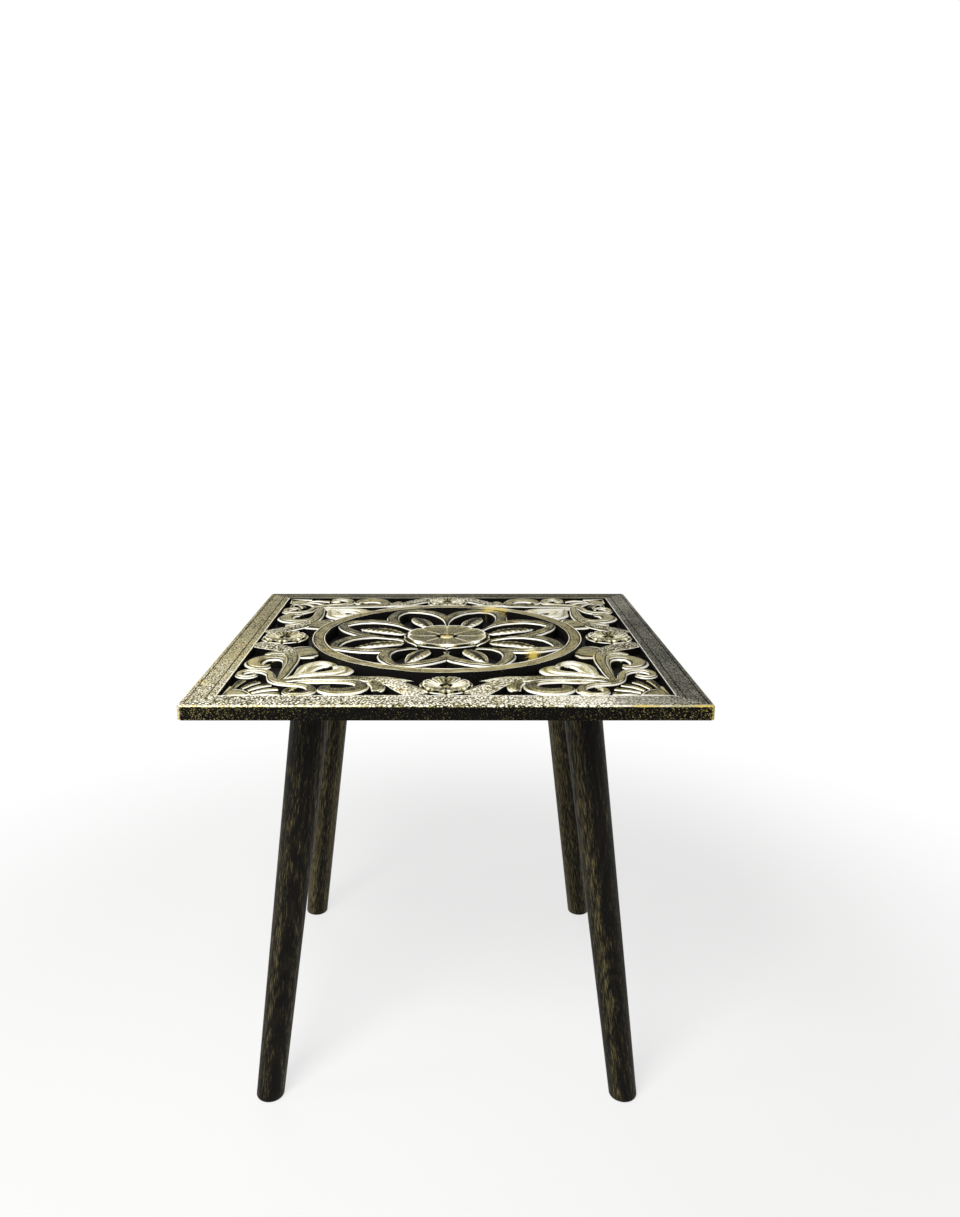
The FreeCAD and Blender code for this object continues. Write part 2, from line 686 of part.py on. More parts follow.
# Leg blocks: square to the table, planed below at a right angle to the leg, bored along its axis
block_diagonal = "#block_side / sqrt(2)"
for index, corner in enumerate(quarters):
    block = new_body("leg_block_" + corner)
    square = new_sketch(block, "XY_Plane", "square_" + corner)
    add_polygon(square, (
        ("%s - %s" % (BLOCK_CENTRE, block_diagonal), "0"),
        (BLOCK_CENTRE, "-" + block_diagonal),
        ("%s + %s" % (BLOCK_CENTRE, block_diagonal), "0"),
        (BLOCK_CENTRE, block_diagonal),
    ))
    add_pad(block, square, "blank_" + corner, "#block_drop + #block_side / 2", upward=False)
    plane_sketch = new_sketch(block, "XZ_Plane", "slope_" + corner)
    reach_text = "(#block_side + #overrun)"
    slope_text = "#block_drop / %s" % LEAN_COSINE
    deep_text = "-(#block_drop + #block_side)"
    add_polygon(plane_sketch, (
        ("-" + reach_text, "-%s * %s - %s" % (reach_text, LEAN_TANGENT, slope_text)),
        ("-" + reach_text, deep_text),
        (reach_text, deep_text),
        (reach_text, "%s * %s - %s" % (reach_text, LEAN_TANGENT, slope_text)),
    ))
    slope = add_cut(block, plane_sketch, "slope_cut_" + corner)
    slope.Midplane = True
    doc.recompute()
    faces = slope.Shape.Faces
    lowest = min(range(len(faces)), key=lambda item: faces[item].CenterOfMass.z)
    bore_sketch = block.newObject("Sketcher::SketchObject", "bore_" + corner)
    bore_sketch.AttachmentSupport = [(slope, "Face%d" % (lowest + 1))]
    bore_sketch.MapMode = "FlatFace"
    doc.recompute()
    add_circle(bore_sketch, ("0", "0"), "#insert_diameter / 2 + #bore_fit")
    add_cut(block, bore_sketch, "bore_cut_" + corner, "#insert_length + #bore_spare", upward=False)
    pilot_sketch = new_sketch(block, "XY_Plane", "pilots_" + corner)
    half_pitch = "#screw_pitch / sqrt(2)"
    for pilot in (
        ("%s - %s" % (BLOCK_CENTRE, half_pitch), "0"),
        ("%s + %s" % (BLOCK_CENTRE, half_pitch), "0"),
        (BLOCK_CENTRE, half_pitch),
        (BLOCK_CENTRE, "-" + half_pitch),
    ):
        add_circle(pilot_sketch, pilot, "#screw_diameter / 2 + #bore_fit")
    add_cut(
        block, pilot_sketch, "pilot_cut_" + corner,
        "#screw_length - #board_thick + #bore_spare", upward=False,
    )
    block.Placement = at_leg_top(index)
    keep(block, "leg_block_" + corner)

# Legs: turned tapers, bored for the bolt, with the foot sawn level and its edge rounded
LEG_LENGTH = "((#table_height - #top_thick) / %s - #block_drop)" % LEAN_COSINE
BOLT_RADIUS = "#bolt_diameter / 2"
for index, corner in enumerate(quarters):
    leg = new_body("leg_" + corner)
    taper = new_sketch(leg, "XZ_Plane", "taper_" + corner)
    hole_radius = BOLT_RADIUS + " + #bore_fit"
    hole_end = "%s - #bolt_leg_length - #bore_spare" % LEG_LENGTH
    add_polygon(taper, (
        ("0", "-#leg_foot_diameter"),
        ("#leg_foot_diameter / 2", "-#leg_foot_diameter"),
        ("#leg_top_diameter / 2", LEG_LENGTH),
        (hole_radius, LEG_LENGTH),
        (hole_radius, hole_end),
        ("0", hole_end),
    ))
    add_revolution(leg, taper, "turning_" + corner)
    floor_sketch = new_sketch(leg, "XZ_Plane", "floor_" + corner)
    wide = "#leg_top_diameter"
    add_polygon(floor_sketch, (
        ("-" + wide, "%s * %s" % (wide, LEAN_TANGENT)),
        ("-" + wide, "-2 * #leg_foot_diameter"),
        (wide, "-2 * #leg_foot_diameter"),
        (wide, "-%s * %s" % (wide, LEAN_TANGENT)),
    ))
    sawn = add_cut(leg, floor_sketch, "foot_cut_" + corner)
    sawn.Midplane = True
    doc.recompute()
    foot_zone = size("leg_foot_diameter")
    round_edges(
        leg, sawn, "foot_edge_" + corner, "#foot_round",
        lambda edge: abs(edge.CenterOfMass.z) < foot_zone and edge.isClosed(),
    )
    leg.Placement = along_leg(index)
    keep(leg, "leg_" + corner)


def turned_piece(name, outline):
    body = new_body(name)
    sketch = new_sketch(body, "XZ_Plane", name + "_outline")
    add_polygon(sketch, outline)
    add_revolution(body, sketch, name + "_turning")
    return body.Shape


# Fasteners, each kind a group of separate solids in one node
hanger = turned_piece("hanger_bolt_pattern", (
    ("0", "-#bolt_leg_length"),
    (BOLT_RADIUS, "-#bolt_leg_length + #bolt_point"),
    (BOLT_RADIUS, "#bolt_nut_length"),
    ("0", "#bolt_nut_length"),
))
threaded = turned_piece("thread_insert_pattern", (
    (BOLT_RADIUS + " + #bore_fit", "0"),
    ("#insert_diameter / 2", "0"),
    ("#insert_diameter / 2", "#insert_length"),
    (BOLT_RADIUS + " + #bore_fit", "#insert_length"),
))
SCREW_RADIUS = "#screw_diameter / 2"
SINK = "(#screw_head_diameter - #screw_diameter) / 2"
screw = turned_piece("block_screw_pattern", (
    ("0", "-#screw_length"),
    (SCREW_RADIUS, "-#screw_length + #screw_point"),
    (SCREW_RADIUS, "-" + SINK),
    ("#screw_head_diameter / 2", "0"),
    ("0", "0"),
))
leg_length = float(sheet.evalExpression(bound(LEG_LENGTH)))
block_centre = float(sheet.evalExpression(bound(BLOCK_CENTRE)))
bolts = []
inserts = []
screws = []
half_step = size("screw_pitch") / math.sqrt(2)
for index in range(CORNERS):
    end = along_leg(index) * FreeCAD.Placement(UP * leg_length, FreeCAD.Rotation())
    bolts.append(hanger.transformed(end.toMatrix()))
    inserts.append(threaded.transformed(end.toMatrix()))
    for number in range(SCREWS_PER_BLOCK):
        step = turned_about_z(360 * number / SCREWS_PER_BLOCK).multVec(Vector(half_step, 0, 0))
        spot = Vector(block_centre, 0, size("board_thick")) + step
        hole = at_leg_top(index) * FreeCAD.Placement(spot, FreeCAD.Rotation())
        screws.append(screw.transformed(hole.toMatrix()))
add_shape("hanger_bolts", Part.makeCompound(bolts), FreeCAD.Placement())
add_shape("thread_inserts", Part.makeCompound(inserts), FreeCAD.Placement())
add_shape("block_screws", Part.makeCompound(screws), FreeCAD.Placement())

# Check every object, then write each piece
doc.recompute()
for thing in doc.Objects:
    if "Invalid" in thing.State or "Error" in thing.State:
        raise RuntimeError("%s failed: %s" % (thing.Label, thing.State))
for node in nodes:
    if node.Shape.isNull() or not node.Shape.isValid():
        raise RuntimeError("%s has no valid shape" % node.Label)
os.makedirs("parts", exist_ok=True)
for node in nodes:
    node.Shape.exportStep(os.path.join("parts", node.Label + ".step"))
    box = node.Shape.BoundBox
    print("%-24s %2d solids %9.1f mm3  z %.2f to %.2f" % (
        node.Label, len(node.Shape.Solids), node.Shape.Volume, box.ZMin, box.ZMax,
    ))
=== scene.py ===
import bmesh
import bpy
import math
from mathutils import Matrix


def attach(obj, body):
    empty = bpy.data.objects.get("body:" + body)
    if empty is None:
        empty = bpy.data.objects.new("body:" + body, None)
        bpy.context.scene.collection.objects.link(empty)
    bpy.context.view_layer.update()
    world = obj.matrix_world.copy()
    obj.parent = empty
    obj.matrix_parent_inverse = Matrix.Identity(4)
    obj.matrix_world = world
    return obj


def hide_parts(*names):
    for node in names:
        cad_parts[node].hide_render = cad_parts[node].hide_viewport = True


# Accent table: a carved top, gold dry-brushed over black, on four splayed turned legs.
# Metres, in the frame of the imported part. The floor is z = 0 and the front of the table is -y.

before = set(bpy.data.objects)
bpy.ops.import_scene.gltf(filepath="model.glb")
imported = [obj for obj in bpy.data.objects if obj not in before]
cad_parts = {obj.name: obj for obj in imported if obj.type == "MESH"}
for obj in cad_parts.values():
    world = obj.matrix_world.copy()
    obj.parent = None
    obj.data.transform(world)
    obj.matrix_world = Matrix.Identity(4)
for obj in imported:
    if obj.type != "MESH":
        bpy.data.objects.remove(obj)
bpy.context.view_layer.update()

MM = 0.001
FULL_TURN = 2 * math.pi
QUARTER_TURN = math.pi / 2

# Sizes repeated from the part
TABLE_HALF = 225 * MM
RAIL_TOP = 416 * MM
UNDERSIDE = 403 * MM
GROUND = 407 * MM
RAIL_WIDTH = 28 * MM
CORNER_ROUND = 5 * MM
OPENING_HALF = 197 * MM
CARVE_FIT = 0.2 * MM
RING_OUTER = 141 * MM
RING_WIDTH = 14 * MM
PETALS = 8
PETAL_OUTLINE = (27 * MM, 129 * MM, 37 * MM)
PETAL_HOLE = (30 * MM, 117 * MM, 23.8 * MM)
SPEAR_OUTLINE = (47 * MM, 103 * MM, 9 * MM)
ROSETTE_RADIUS = 46 * MM
SIDE_ROSETTE_RADIUS = 24.5 * MM
SIDE_ROSETTE_PLACE = 170.5 * MM
FAN_RADIUS = 52.4 * MM
FAN_RIBS = 5
LEG_FOOT_PLACE = 172.2 * MM
LEG_SPLAY = 47.6 * MM
CORNERS = ("front_left", "front_right", "back_right", "back_left")
SIDES = ("front", "right", "back", "left")

# Sizes of the scene alone: slimmer scrolls than the part's, fuller spear leaves, fans clear of the rails
SCROLL_SHARE = 0.94
SPEAR_FULLNESS = (1.3, 0.94)
FAN_HUB = 25 * MM
FAN_INSET = 3.6 * MM

# A strap: the crown, the wall's lean and its foot as shares of the half width, the wall's upper edge as
# a share of the wall's height, and the pitch of veins
CROWN_SHARE = 0.92
WALL_SHARE = 0.06
FOOT_SHARE = 0.02
WALL_TOP = 0.94
VEIN_PITCH = 6.4 * MM

# Lengths too small to see, which keep sums from dividing by nought and join points that fall together,
# and the angle past which an edge of the carving stays sharp
HAIR = 0.01 * MM
SEAM_MERGE = 0.005 * MM
POINT_MERGE = 0.002 * MM
SLIVER = 0.001 * MM
SHARP_ANGLE = math.radians(42)

# Gold: how metallic it is, its specks to the metre, and where a yellower gold ran on ring and petal
GOLD_METALLIC = 0.35
FINE_SPECKS = 850.0
COARSE_SPECKS = 560.0
RING_RUN = (57 * MM, 118 * MM)
PETAL_RUN = (90 * MM, -63 * MM)

# Wood grain: the width of a year's ring, and the width and length of pores
GROWTH_RING = 2.6 * MM
PORE_WIDTH = 0.55 * MM
PORE_LENGTH = 11 * MM

# Studio: a floor that bends up into a backdrop, in metres, and the strength of the room's light
SWEEP_FRONT = -4.0
SWEEP_BEND = 3.0
SWEEP_RADIUS = 1.5
SWEEP_TOP = 5.0
SWEEP_HALF = 8.0
SWEEP_STEPS = 12
ROOM_LIGHT = 0.15

# Camera, fitted to the photograph's edges for a frame of 960 by 1217: pixels, then the sensor's width
# in millimetres, and the camera's place in metres
PHOTO_HEIGHT = 1217
FOCAL_LENGTH = 981.9
CENTRE_SHIFT = 29.3
SENSOR_WIDTH = 36
CAMERA_PLACE = (0.0040, -1.0028, 0.6762)
CAMERA_TILT = math.radians(90 - 12.845)


# Node trees: small helpers, so that a carver's rule can be written as a sum
class Reading:
    """A socket of a node tree. Sums written with it become Math nodes of the same tree."""

    def __init__(self, tree, socket):
        self.tree = tree
        self.socket = socket

    def __add__(self, other):
        return worked("ADD", self, other)

    def __radd__(self, other):
        return worked("ADD", other, self)

    def __sub__(self, other):
        return worked("SUBTRACT", self, other)

    def __rsub__(self, other):
        return worked("SUBTRACT", other, self)

    def __mul__(self, other):
        return worked("MULTIPLY", self, other)

    def __rmul__(self, other):
        return worked("MULTIPLY", other, self)

    def __truediv__(self, other):
        return worked("DIVIDE", self, other)

    def __rtruediv__(self, other):
        return worked("DIVIDE", other, self)

    def __pow__(self, other):
        return worked("POWER", self, other)

    def __neg__(self):
        return worked("MULTIPLY", self, -1)

    def __abs__(self):
        return worked("ABSOLUTE", self)

    def __gt__(self, other):
        return worked("GREATER_THAN", self, other)


def feed(tree, socket, value):
    if isinstance(value, Reading):
        tree.links.new(value.socket, socket)
    else:
        socket.default_value = value


def worked(operation, *values):
    tree = [value.tree for value in values if isinstance(value, Reading)][0]
    node = tree.nodes.new("ShaderNodeMath")
    node.operation = operation
    for socket, value in zip(node.inputs, values):
        feed(tree, socket, value)
    return Reading(tree, node.outputs[0])


def placed(tree, kind, feeds=None, output=0, **settings):
    """Add a node, set and feed it, and give one of its outputs."""
    node = tree.nodes.new(kind)
    for name, value in settings.items():
        setattr(node, name, value)
    for name, value in (feeds or {}).items():
        feed(tree, node.inputs[name], value)
    return Reading(tree, node.outputs[output])


def eased(value, low, high):
    """A soft step from 0 below low to 1 above high."""
    feeds = {"Value": value, "From Min": low, "From Max": high}
    return placed(value.tree, "ShaderNodeMapRange", feeds, interpolation_type="SMOOTHSTEP")


def between(share, first, second):
    return first + share * (second - first)


def held(value, low, high):
    return worked("MINIMUM", worked("MAXIMUM", value, low), high)


def reach_of(x, y):
    """How far a point lies from the origin in plan."""
    return worked("SQRT", x * x + y * y)


def parts_of(vector):
    node = vector.tree.nodes.new("ShaderNodeSeparateXYZ")
    feed(vector.tree, node.inputs[0], vector)
    return [Reading(vector.tree, socket) for socket in node.outputs]


def joined(tree, x, y, z):
    return placed(tree, "ShaderNodeCombineXYZ", {"X": x, "Y": y, "Z": z})


def grainy(vector, scale, detail=2.0, roughness=0.5):
    feeds = {"Vector": vector, "Scale": scale, "Detail": detail, "Roughness": roughness}
    return placed(vector.tree, "ShaderNodeTexNoise", feeds)


def new_tree(name, kind, inputs, outputs):
    tree = bpy.data.node_groups.new(name, kind)
    for label, socket in inputs:
        tree.interface.new_socket(label, in_out="INPUT", socket_type="NodeSocket" + socket)
    for label, socket in outputs:
        tree.interface.new_socket(label, in_out="OUTPUT", socket_type="NodeSocket" + socket)
    source = tree.nodes.new("NodeGroupInput")
    given = {label: Reading(tree, source.outputs[label]) for label, socket in inputs}
    return tree, given


def finish_tree(tree, results):
    sink = tree.nodes.new("NodeGroupOutput")
    for label, value in results.items():
        feed(tree, sink.inputs[label], value)
    return tree


def added(name, data):
    """A new object in the scene."""
    thing = bpy.data.objects.new(name, data)
    bpy.context.scene.collection.objects.link(thing)
    return thing


# Geometry of the carving
def named(tree, name, kind="FLOAT"):
    return placed(tree, "GeometryNodeInputNamedAttribute", {"Name": name}, data_type=kind)


def stored(geometry, name, value, kind="FLOAT"):
    feeds = {"Geometry": geometry, "Name": name, "Value": value}
    settings = {"data_type": kind, "domain": "POINT"}
    return placed(geometry.tree, "GeometryNodeStoreNamedAttribute", feeds, **settings)


def pushed_clear(x, y, centre_x, centre_y, radius):
    """Push a point straight out of a round neighbour, onto its rim."""
    along_x = x - centre_x
    along_y = y - centre_y
    reach = reach_of(along_x, along_y)
    stretch = worked("MAXIMUM", reach, radius) / worked("MAXIMUM", reach, HAIR)
    return centre_x + along_x * stretch, centre_y + along_y * stretch


def set_out_in_turns(tree, geometry, copies, first_turn, finish):
    """Repeat a carved shape about the table's middle, make it plain mesh and give it its finish."""
    feeds = {"Count": copies, "Offset": (0, 0, 0)}
    spots = placed(tree, "GeometryNodeMeshLine", feeds)
    number = placed(tree, "GeometryNodeInputIndex")
    turn = first_turn + number * FULL_TURN / copies
    rotation = placed(tree, "FunctionNodeEulerToRotation", {"Euler": joined(tree, 0, 0, turn)})
    feeds = {"Points": spots, "Instance": geometry, "Rotation": rotation}
    copied = placed(tree, "GeometryNodeInstanceOnPoints", feeds)
    plain = placed(tree, "GeometryNodeRealizeInstances", {"Geometry": copied})
    return placed(tree, "GeometryNodeSetMaterial", {"Geometry": plain, "Material": finish})


def carved_straps_tree():
    """Sweep straps along spines, whose vertices give a strap's half width, height and carving."""
    tree, given = new_tree("carved_straps", "GeometryNodeTree", (
        ("Spines", "Geometry"), ("Step along", "Float"), ("Points across", "Int"),
        ("Ground level", "Float"), ("Field half", "Float"), ("Ring radius", "Float"),
        ("Rosette radius", "Float"), ("Rosette place", "Float"), ("Seam slope", "Float"),
        ("Seam room", "Float"), ("Tool wobble", "Float"), ("Copies", "Int"), ("First turn", "Float"),
        ("Finish", "Material"),
    ), (("Carving", "Geometry"),))
    spine = placed(tree, "GeometryNodeMeshToCurve", {"Mesh": given["Spines"]})
    spine = placed(tree, "GeometryNodeCurveSplineType", {"Curve": spine}, spline_type="CATMULL_ROM")
    feeds = {"Curve": spine, "Length": given["Step along"]}
    spine = placed(tree, "GeometryNodeResampleCurve", feeds, mode="LENGTH")

    # Half of the strap as an arrow across the spine, drawn in at a round end
    half_width = named(tree, "half_width")
    along = placed(tree, "GeometryNodeSplineParameter", output=1)
    whole = placed(tree, "GeometryNodeSplineLength")
    nearness = held(1 - (whole - along) / worked("MAXIMUM", half_width, HAIR), 0, 1)
    drawn = worked("SQRT", 1 - nearness * nearness * named(tree, "round_end"))
    tangent_x, tangent_y = parts_of(placed(tree, "GeometryNodeInputTangent"))[:2]
    reach = half_width * drawn
    square_across = joined(tree, -tangent_y * reach, tangent_x * reach, 0)
    own_across = tree.nodes.new("GeometryNodeInputNamedAttribute")
    own_across.data_type = "FLOAT_VECTOR"
    own_across.inputs["Name"].default_value = "own_across"
    feeds = {
        "Switch": Reading(tree, own_across.outputs["Exists"]),
        "False": square_across,
        "True": Reading(tree, own_across.outputs["Attribute"]),
    }
    across_arrow = placed(tree, "GeometryNodeSwitch", feeds, input_type="VECTOR")
    spine = stored(spine, "across_arrow", across_arrow, "FLOAT_VECTOR")
    spine = stored(spine, "along", along)
    spine = stored(spine, "worn", named(tree, "fade") * eased(along / whole, 0.4, 0.7))

    # The cross section, from one foot of the strap over its top to the other foot
    line = placed(tree, "GeometryNodeCurvePrimitiveLine", {"Start": (-1, 0, 0), "End": (1, 0, 0)})
    line = placed(tree, "GeometryNodeResampleCurve", {"Curve": line, "Count": given["Points across"]})
    line = stored(line, "across", parts_of(placed(tree, "GeometryNodeInputPosition"))[0])
    line = placed(tree, "GeometryNodeSetSplineCyclic", {"Geometry": line, "Cyclic": True})
    feeds = {"Curve": spine, "Profile Curve": line, "Scale": 0, "Fill Caps": True}
    strap = placed(tree, "GeometryNodeCurveToMesh", feeds)

    # Where each point goes: the last two points on each side are the wall and its foot
    across = named(tree, "across")
    step = 2 / (given["Points across"] - 1)
    foot = abs(across) > 1 - 0.5 * step
    wall_side = abs(across) > 1 - 1.5 * step
    out = held(abs(across) / (1 - 2 * step), 0, 1)
    over = worked("SIGN", across) * (out * CROWN_SHARE + wall_side * WALL_SHARE + foot * FOOT_SHARE)
    arrow_x, arrow_y = parts_of(named(tree, "across_arrow", "FLOAT_VECTOR"))[:2]
    x, y = parts_of(placed(tree, "GeometryNodeInputPosition"))[:2]
    field = given["Field half"]
    x = held(x + arrow_x * over, -field, field)
    y = held(y + arrow_y * over, -field, field)
    x, y = pushed_clear(x, y, 0, 0, given["Ring radius"])
    x, y = pushed_clear(x, y, 0, -given["Rosette place"], given["Rosette radius"])
    x, y = pushed_clear(x, y, -given["Rosette place"], 0, given["Rosette radius"])
    seam = abs(x) * given["Seam slope"] + given["Seam room"]
    y = held(y, -seam, seam)

    # How high it stands: a crown or a hollow, lengthwise flutes, an edge line, and slanting veins
    wall = named(tree, "wall")
    crown = between(named(tree, "hollow"), 1 - out ** 3.2, out ** 2.6)
    flute = 0.5 - 0.5 * worked("COSINE", math.pi * named(tree, "flutes") * (over / CROWN_SHARE + 1))
    worn = named(tree, "worn")
    flute = named(tree, "groove") * (1 - worn) * flute ** 5.0
    edge_line = named(tree, "outline") * eased(out, 0.66, 0.74) * (1 - eased(out, 0.76, 0.84))
    length = named(tree, "along")
    vein = worked("COSINE", (length / VEIN_PITCH - out * 0.6) * FULL_TURN)
    vein = named(tree, "veins") * (0.5 - 0.5 * vein) * eased(out, 0.08, 0.3)
    rise = (wall + (1 - wall) * crown - flute - vein - 0.06 * edge_line) * (1 - wall_side)
    rise = rise + (wall_side - foot) * wall * WALL_TOP
    hand = grainy(joined(tree, x, y, 0), 55.0) - 0.5
    z = named(tree, "height") * rise * (1 + hand * given["Tool wobble"])
    feeds = {"Geometry": strap, "Position": joined(tree, x, y, given["Ground level"] + z)}
    strap = placed(tree, "GeometryNodeSetPosition", feeds)

    # Where the brush catches: crowns and arrises more than flutes, high parts more than low ones
    catch = 0.38 + named(tree, "gilt") + 0.78 * eased(out, 0.84, 0.95)
    catch = catch - 3.6 * flute - 3.0 * vein - 0.75 * edge_line + hand * 0.5
    catch = catch * between(eased(z, 3.6 * MM, 7.6 * MM), 0.25, 1.0)
    strap = stored(strap, "crest", catch * (1 - foot))

    # A leaf's worn end is stippled, but for a strip along one edge. Brush marks follow the strap.
    edge_strip = eased(across * named(tree, "strip_side"), 0.5, 0.6)
    strap = stored(strap, "stipple", worn * (1 - edge_strip) * (1 - wall_side))
    flow = joined(tree, across * reach_of(arrow_x, arrow_y), length, 0)
    strap = stored(strap, "flow", flow, "FLOAT_VECTOR")
    carving = set_out_in_turns(tree, strap, given["Copies"], given["First turn"], given["Finish"])
    return finish_tree(tree, {"Carving": carving})


def carved_flower_tree():
    """A scalloped flower by rule: a dished upper flower on a lower one, with a button in the middle."""
    tree, given = new_tree("carved_flower", "GeometryNodeTree", (
        ("Radius", "Float"), ("Lobes", "Int"), ("Rings", "Int"), ("Points round", "Int"),
        ("Notch", "Float"), ("Upper share", "Float"), ("Button share", "Float"),
        ("Upper height", "Float"), ("Lower height", "Float"), ("Button height", "Float"),
        ("Fluting", "Float"), ("Seam depth", "Float"), ("Seam shine", "Float"), ("Dish", "Float"),
        ("Rim width", "Float"), ("Gilt", "Float"), ("Lower gilt", "Float"),
        ("Place", "Vector"), ("First turn", "Float"), ("Finish", "Material"),
    ), (("Carving", "Geometry"),))
    feeds = {
        "Size X": 1, "Size Y": 1, "Vertices X": given["Rings"], "Vertices Y": given["Points round"],
    }
    grid = placed(tree, "GeometryNodeMeshGrid", feeds)
    x, y = parts_of(placed(tree, "GeometryNodeInputPosition"))[:2]
    step = 1 / (given["Rings"] - 1)
    share = x + 0.5
    turn = (y + 0.5) * FULL_TURN

    # The last three rings of points are the wall, its foot and the closing below
    out = held(share / (1 - 3 * step), 0, 1)
    wall_side = share > 1 - 2.5 * step
    below = share > 1 - 1.5 * step
    closing = share > 1 - 0.5 * step
    phase = worked("FRACT", turn * given["Lobes"] / FULL_TURN) - 0.5
    seam = abs(phase) * 2
    upper_edge = given["Upper share"]
    button = given["Button share"]
    upper = 1 - (out > upper_edge)
    outline = 1 - given["Notch"] * seam ** 4.0 * between(upper, 0.6, 1.4)
    reach = given["Radius"] * out * outline * (1 - closing)

    # The upper flower is dished, with a raised rim and a line cut along each seam
    rim = eased(out, upper_edge - given["Rim width"], upper_edge - 0.05)
    lip = eased(out, upper_edge - 0.06, upper_edge - 0.03)
    line = seam ** 16.0 * eased(out, button, button + 0.15) * (1 - lip)
    moat = 1 - eased(out, button + 0.03, button + 0.1)
    ridge = worked("COSINE", phase * (3 * FULL_TURN)) * given["Fluting"]
    ridge = ridge * eased(out, button, button + 0.2)
    dish = 1 - given["Dish"] * (1 - rim) - line * given["Seam depth"] + ridge - 0.3 * moat
    dish = held(dish, 0.2, 1.0)

    # The lower flower shows as a ring of bulging lobes round it, and the button stands in the middle
    local = 2 * held((out - upper_edge) / (1 - upper_edge), 0, 1) - 1
    bulge = 1 - local * local
    notch = seam ** 6.0
    lower = 0.92 + 0.08 * bulge - 0.2 * notch
    knob = 1 - eased(out, button - 0.03, button + 0.02)
    z = between(upper, given["Lower height"] * lower, given["Upper height"] * dish)
    z = between(knob, z, given["Button height"] * (1 - 0.25 * (out / button) ** 2.0))
    z = z * (1 - below) * (1 - 0.2 * wall_side)
    low_catch = given["Lower gilt"] * (bulge - notch) + 0.7 * eased(out, 0.965, 0.985)
    high_catch = given["Gilt"] + 0.1 * rim + 0.8 * lip + line * given["Seam shine"]
    high_catch = high_catch + 3.0 * ridge - moat
    crest = between(upper, low_catch, high_catch)
    knob_catch = 0.28 + 0.3 * eased(out, 0.6 * button, 0.9 * button)
    crest = between(knob, crest, knob_catch) * (1 - wall_side)
    grid = stored(grid, "crest", crest)
    grid = stored(grid, "flow", joined(tree, turn * given["Radius"], reach, 0), "FLOAT_VECTOR")
    spot = joined(tree, reach * worked("COSINE", turn), reach * worked("SINE", turn), z)
    flower = placed(tree, "GeometryNodeSetPosition", {"Geometry": grid, "Position": spot})
    feeds = {"Geometry": flower, "Distance": SEAM_MERGE}
    flower = placed(tree, "GeometryNodeMergeByDistance", feeds)
    feeds = {"Geometry": flower, "Translation": given["Place"]}
    flower = placed(tree, "GeometryNodeTransform", feeds)
    carving = set_out_in_turns(tree, flower, 1, given["First turn"], given["Finish"])
    return finish_tree(tree, {"Carving": carving})


def carve(name, spines, tree, sizes, replaced):
    """Run a tree on the spines, keep the result as plain mesh, and put it in the place of its node."""
    work = added(name + "_work", spines)
    modifier = work.modifiers.new("carving", "NODES")
    modifier.node_group = tree
    for item in tree.interface.items_tree:
        if item.item_type == "SOCKET" and item.in_out == "INPUT" and item.name in sizes:
            modifier[item.identifier] = sizes[item.name]
    bpy.context.view_layer.update()
    graph = bpy.context.evaluated_depsgraph_get()
    mesh = bpy.data.meshes.new_from_object(work.evaluated_get(graph))
    work.modifiers.remove(modifier)
    bpy.data.objects.remove(work)
    mesh.name = name
    shape = bmesh.new()
    shape.from_mesh(mesh)
    bmesh.ops.remove_doubles(shape, verts=shape.verts, dist=POINT_MERGE)
    bmesh.ops.dissolve_degenerate(shape, edges=shape.edges, dist=SLIVER)
    bmesh.ops.recalc_face_normals(shape, faces=shape.faces)
    shape.to_mesh(mesh)
    shape.free()
    mesh.shade_smooth()
    mesh.set_sharp_from_angle(angle=SHARP_ANGLE)
    piece = added(name, mesh)
    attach(piece, "root")
    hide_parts(*replaced)


# What a strap's carving can say. Each becomes a value on the spine's vertices, 0 where it isn't given.
CARVING_KEYS = (
    "round_end", "wall", "hollow", "flutes", "groove", "veins", "outline", "gilt", "fade", "strip_side",
)


def spine_mesh(name, spines):
    """Spines as chains of vertices. A spine has points, half widths, heights and its carving.

    It may be closed, and it may give its own arrows across.
    """
    mesh = bpy.data.meshes.new(name)
    points = []
    edges = []
    columns = {key: [] for key in ("half_width", "height") + CARVING_KEYS}
    arrows = []
    for spine in spines:
        first = len(points)
        count = len(spine["points"])
        points.extend((x, y, 0) for x, y in spine["points"])
        edges.extend((first + number, first + number + 1) for number in range(count - 1))
        if spine.get("closed"):
            edges.append((first + count - 1, first))
        columns["half_width"].extend(spine["half_widths"])
        columns["height"].extend(spine["heights"])
        for key in CARVING_KEYS:
            columns[key].extend([float(spine["carving"].get(key, 0))] * count)
        arrows.extend(spine.get("across", ()))
    mesh.from_pydata(points, edges, [])
    for key, values in columns.items():
        mesh.attributes.new(key, "FLOAT", "POINT").data.foreach_set("value", values)
    if arrows:
        flat = [number for x, y in arrows for number in (x, y, 0)]
        mesh.attributes.new("own_across", "FLOAT_VECTOR", "POINT").data.foreach_set("vector", flat)
    return mesh


def swell(count, root, middle, end):
    """Heights along a spine, in millimetres: a smooth rise or fall from root through middle to end."""
    heights = []
    for number in range(count):
        share = number / (count - 1)
        through = 2 * (share - 0.5) * (share - 1) * root + 4 * share * (1 - share) * middle
        heights.append((through + 2 * share * (share - 0.5) * end) * MM)
    return heights


